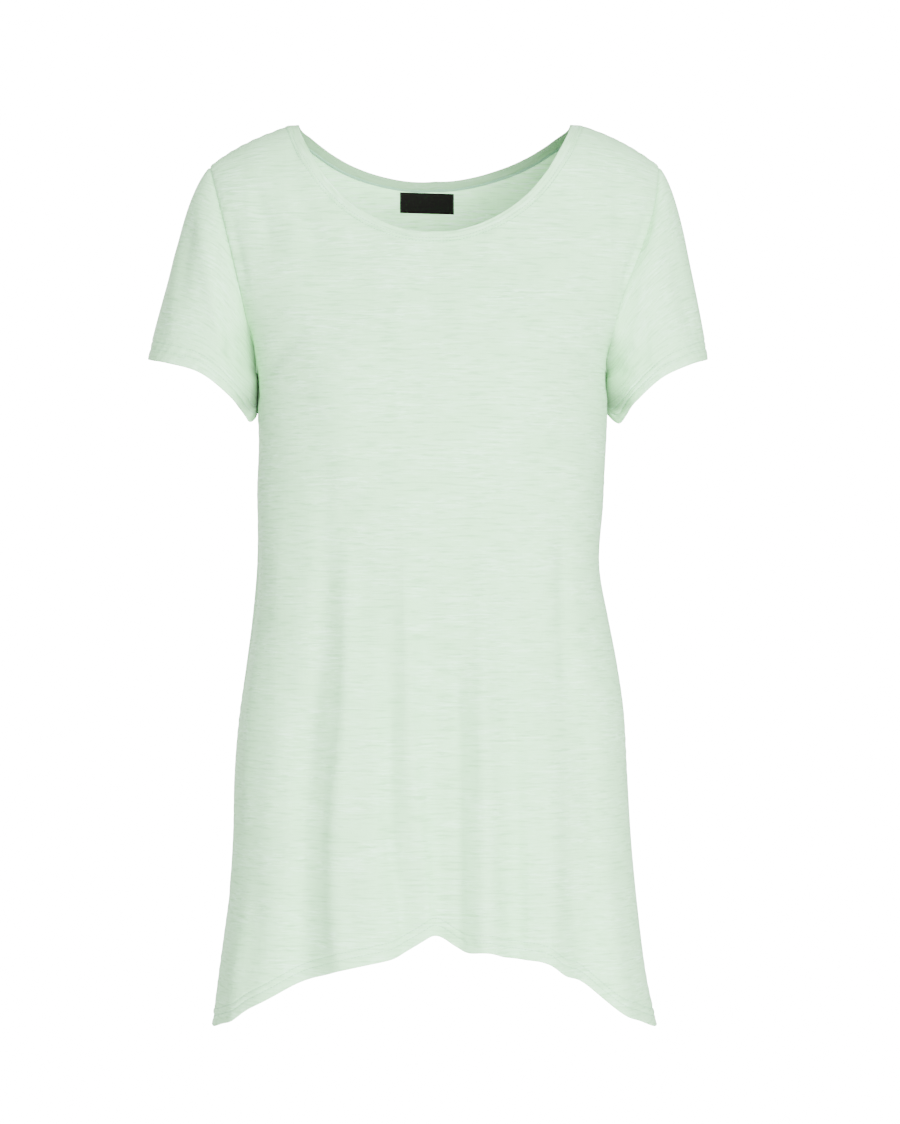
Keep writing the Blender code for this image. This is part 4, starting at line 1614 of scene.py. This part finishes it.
class SHIRT_OT_label(bpy.types.Operator):
    """Builds the bare woven label inside the back neck"""

    bl_idname = "shirt.label"
    bl_label = "Label"

    flat = ((0.048, 0.018), None)

    def execute(self, context):
        scene = context.scene
        colours = scene.shirt_colours
        cut = label_cut(scene.shirt_cloth.wall / METRES)
        weave = shared("label_weave_cloth", label_material, tuple(colours.label), tuple(colours.label_high))
        piece = sheet_object("label_cloth", cut, [weave])
        thread = shared("label_thread", thread_material, tuple(colours.label), tuple(colours.label_high))
        runs = label_runs(cut, scene.shirt_sewing)
        stitches = stitch_object("label_stitches", runs, scene.shirt_sewing, stitch_form(), thread)
        finish_sheet(piece, "label", stitches)
        return {"FINISHED"}


class SHIRT_OT_stage(bpy.types.Operator):
    """Builds the pale floor, the soft lights, the surround and the camera"""

    bl_idname = "shirt.stage"
    bl_label = "Stage"

    def execute(self, context):
        scene = context.scene
        stage = scene.shirt_stage
        deselect_all()
        bpy.ops.mesh.primitive_plane_add(size=stage.floor_size, location=(0.0, 0.0, stage.floor_height))
        floor = context.object
        floor.name = "floor"
        floor.data.materials.append(stage_material("floor_paper", tuple(stage.floor_colour)))
        bpy.ops.object.transform_apply(location=True, rotation=False, scale=False)
        for name, place, size in LIGHTS:
            deselect_all()
            bpy.ops.object.light_add(type="AREA", location=place)
            light = context.object
            light.name = name
            light.data.energy = getattr(stage, name)
            light.data.size = size
            aim(light, LIGHT_TARGET)
        scene.world = white_surround(stage)
        deselect_all()
        place = (VIEW_CENTRE[0], -stage.camera_distance, VIEW_CENTRE[1])
        bpy.ops.object.camera_add(location=place, rotation=(math.pi / 2, 0, 0))
        camera = context.object
        camera.data.sensor_fit = "HORIZONTAL"
        camera.data.sensor_width = SENSOR
        camera.data.lens = SENSOR * stage.camera_distance / stage.frame_width
        scene.camera = camera
        return {"FINISHED"}


def white_surround(stage):
    """A pale surround, dimmer towards the floor and brighter where it is seen, as a lit backdrop is."""
    world = bpy.data.worlds.new("surround")
    world.use_nodes = True
    tree = world.node_tree
    lit = tree.nodes["Background"]
    lit.inputs["Color"].default_value = (1.0, 1.0, 1.0, 1.0)
    height = add_node(tree, "ShaderNodeSeparateXYZ")
    tree.links.new(add_node(tree, "ShaderNodeTexCoord").outputs["Generated"], height.inputs[0])
    strength = add_node(tree, "ShaderNodeMapRange")
    limits = {
        "From Min": SURROUND_FLOOR,
        "From Max": SURROUND_FULL,
        "To Min": stage.surround_low,
        "To Max": stage.surround,
    }
    for key, value in limits.items():
        strength.inputs[key].default_value = value
    tree.links.new(height.outputs["Z"], strength.inputs["Value"])
    tree.links.new(strength.outputs["Result"], lit.inputs["Strength"])
    seen = add_node(tree, "ShaderNodeBackground", Color=(1.0, 1.0, 1.0, 1.0), Strength=stage.backdrop)
    mix = add_node(tree, "ShaderNodeMixShader")
    tree.links.new(add_node(tree, "ShaderNodeLightPath").outputs["Is Camera Ray"], mix.inputs[0])
    tree.links.new(lit.outputs[0], mix.inputs[1])
    tree.links.new(seen.outputs[0], mix.inputs[2])
    tree.links.new(mix.outputs[0], tree.nodes["World Output"].inputs["Surface"])
    return world


def aim(obj, target):
    """Turns a light towards a place."""
    away = obj.location.copy()
    away.x -= target[0]
    away.y -= target[1]
    away.z -= target[2]
    obj.rotation_euler = away.to_track_quat("Z", "Y").to_euler()


class SHIRT_PT_panel(bpy.types.Panel):
    """Lists the sizes, the colours and the pieces"""

    bl_idname = "SHIRT_PT_panel"
    bl_label = "T-shirt"
    bl_space_type = "VIEW_3D"
    bl_region_type = "UI"
    bl_category = "T-shirt"

    def draw(self, context):
        scene = context.scene
        for group in (scene.shirt_cloth, scene.shirt_sewing, scene.shirt_colours, scene.shirt_stage):
            box = self.layout.box()
            for name in group.bl_rna.properties.keys():
                if name not in ("rna_type", "name"):
                    box.prop(group, name)
        for operator in OPERATORS:
            self.layout.operator(operator.bl_idname)


GROUPS = {
    "shirt_cloth": ShirtCloth,
    "shirt_sewing": ShirtSewing,
    "shirt_colours": ShirtColours,
    "shirt_stage": ShirtStage,
}
OPERATORS = (SHIRT_OT_stage, SHIRT_OT_panels, SHIRT_OT_sleeves, SHIRT_OT_neck_band, SHIRT_OT_label)


def register():
    for name, group in GROUPS.items():
        bpy.utils.register_class(group)
        setattr(bpy.types.Scene, name, bpy.props.PointerProperty(type=group))
    for operator in OPERATORS:
        bpy.utils.register_class(operator)
    bpy.utils.register_class(SHIRT_PT_panel)


def unregister():
    bpy.utils.unregister_class(SHIRT_PT_panel)
    for operator in reversed(OPERATORS):
        bpy.utils.unregister_class(operator)
    for name, group in reversed(GROUPS.items()):
        delattr(bpy.types.Scene, name)
        bpy.utils.unregister_class(group)


def main():
    register()
    bpy.ops.shirt.stage()
    bpy.ops.shirt.panels()
    bpy.ops.shirt.sleeves()
    bpy.ops.shirt.neck_band()
    bpy.ops.shirt.label()


if __name__ == "__main__":
    main()
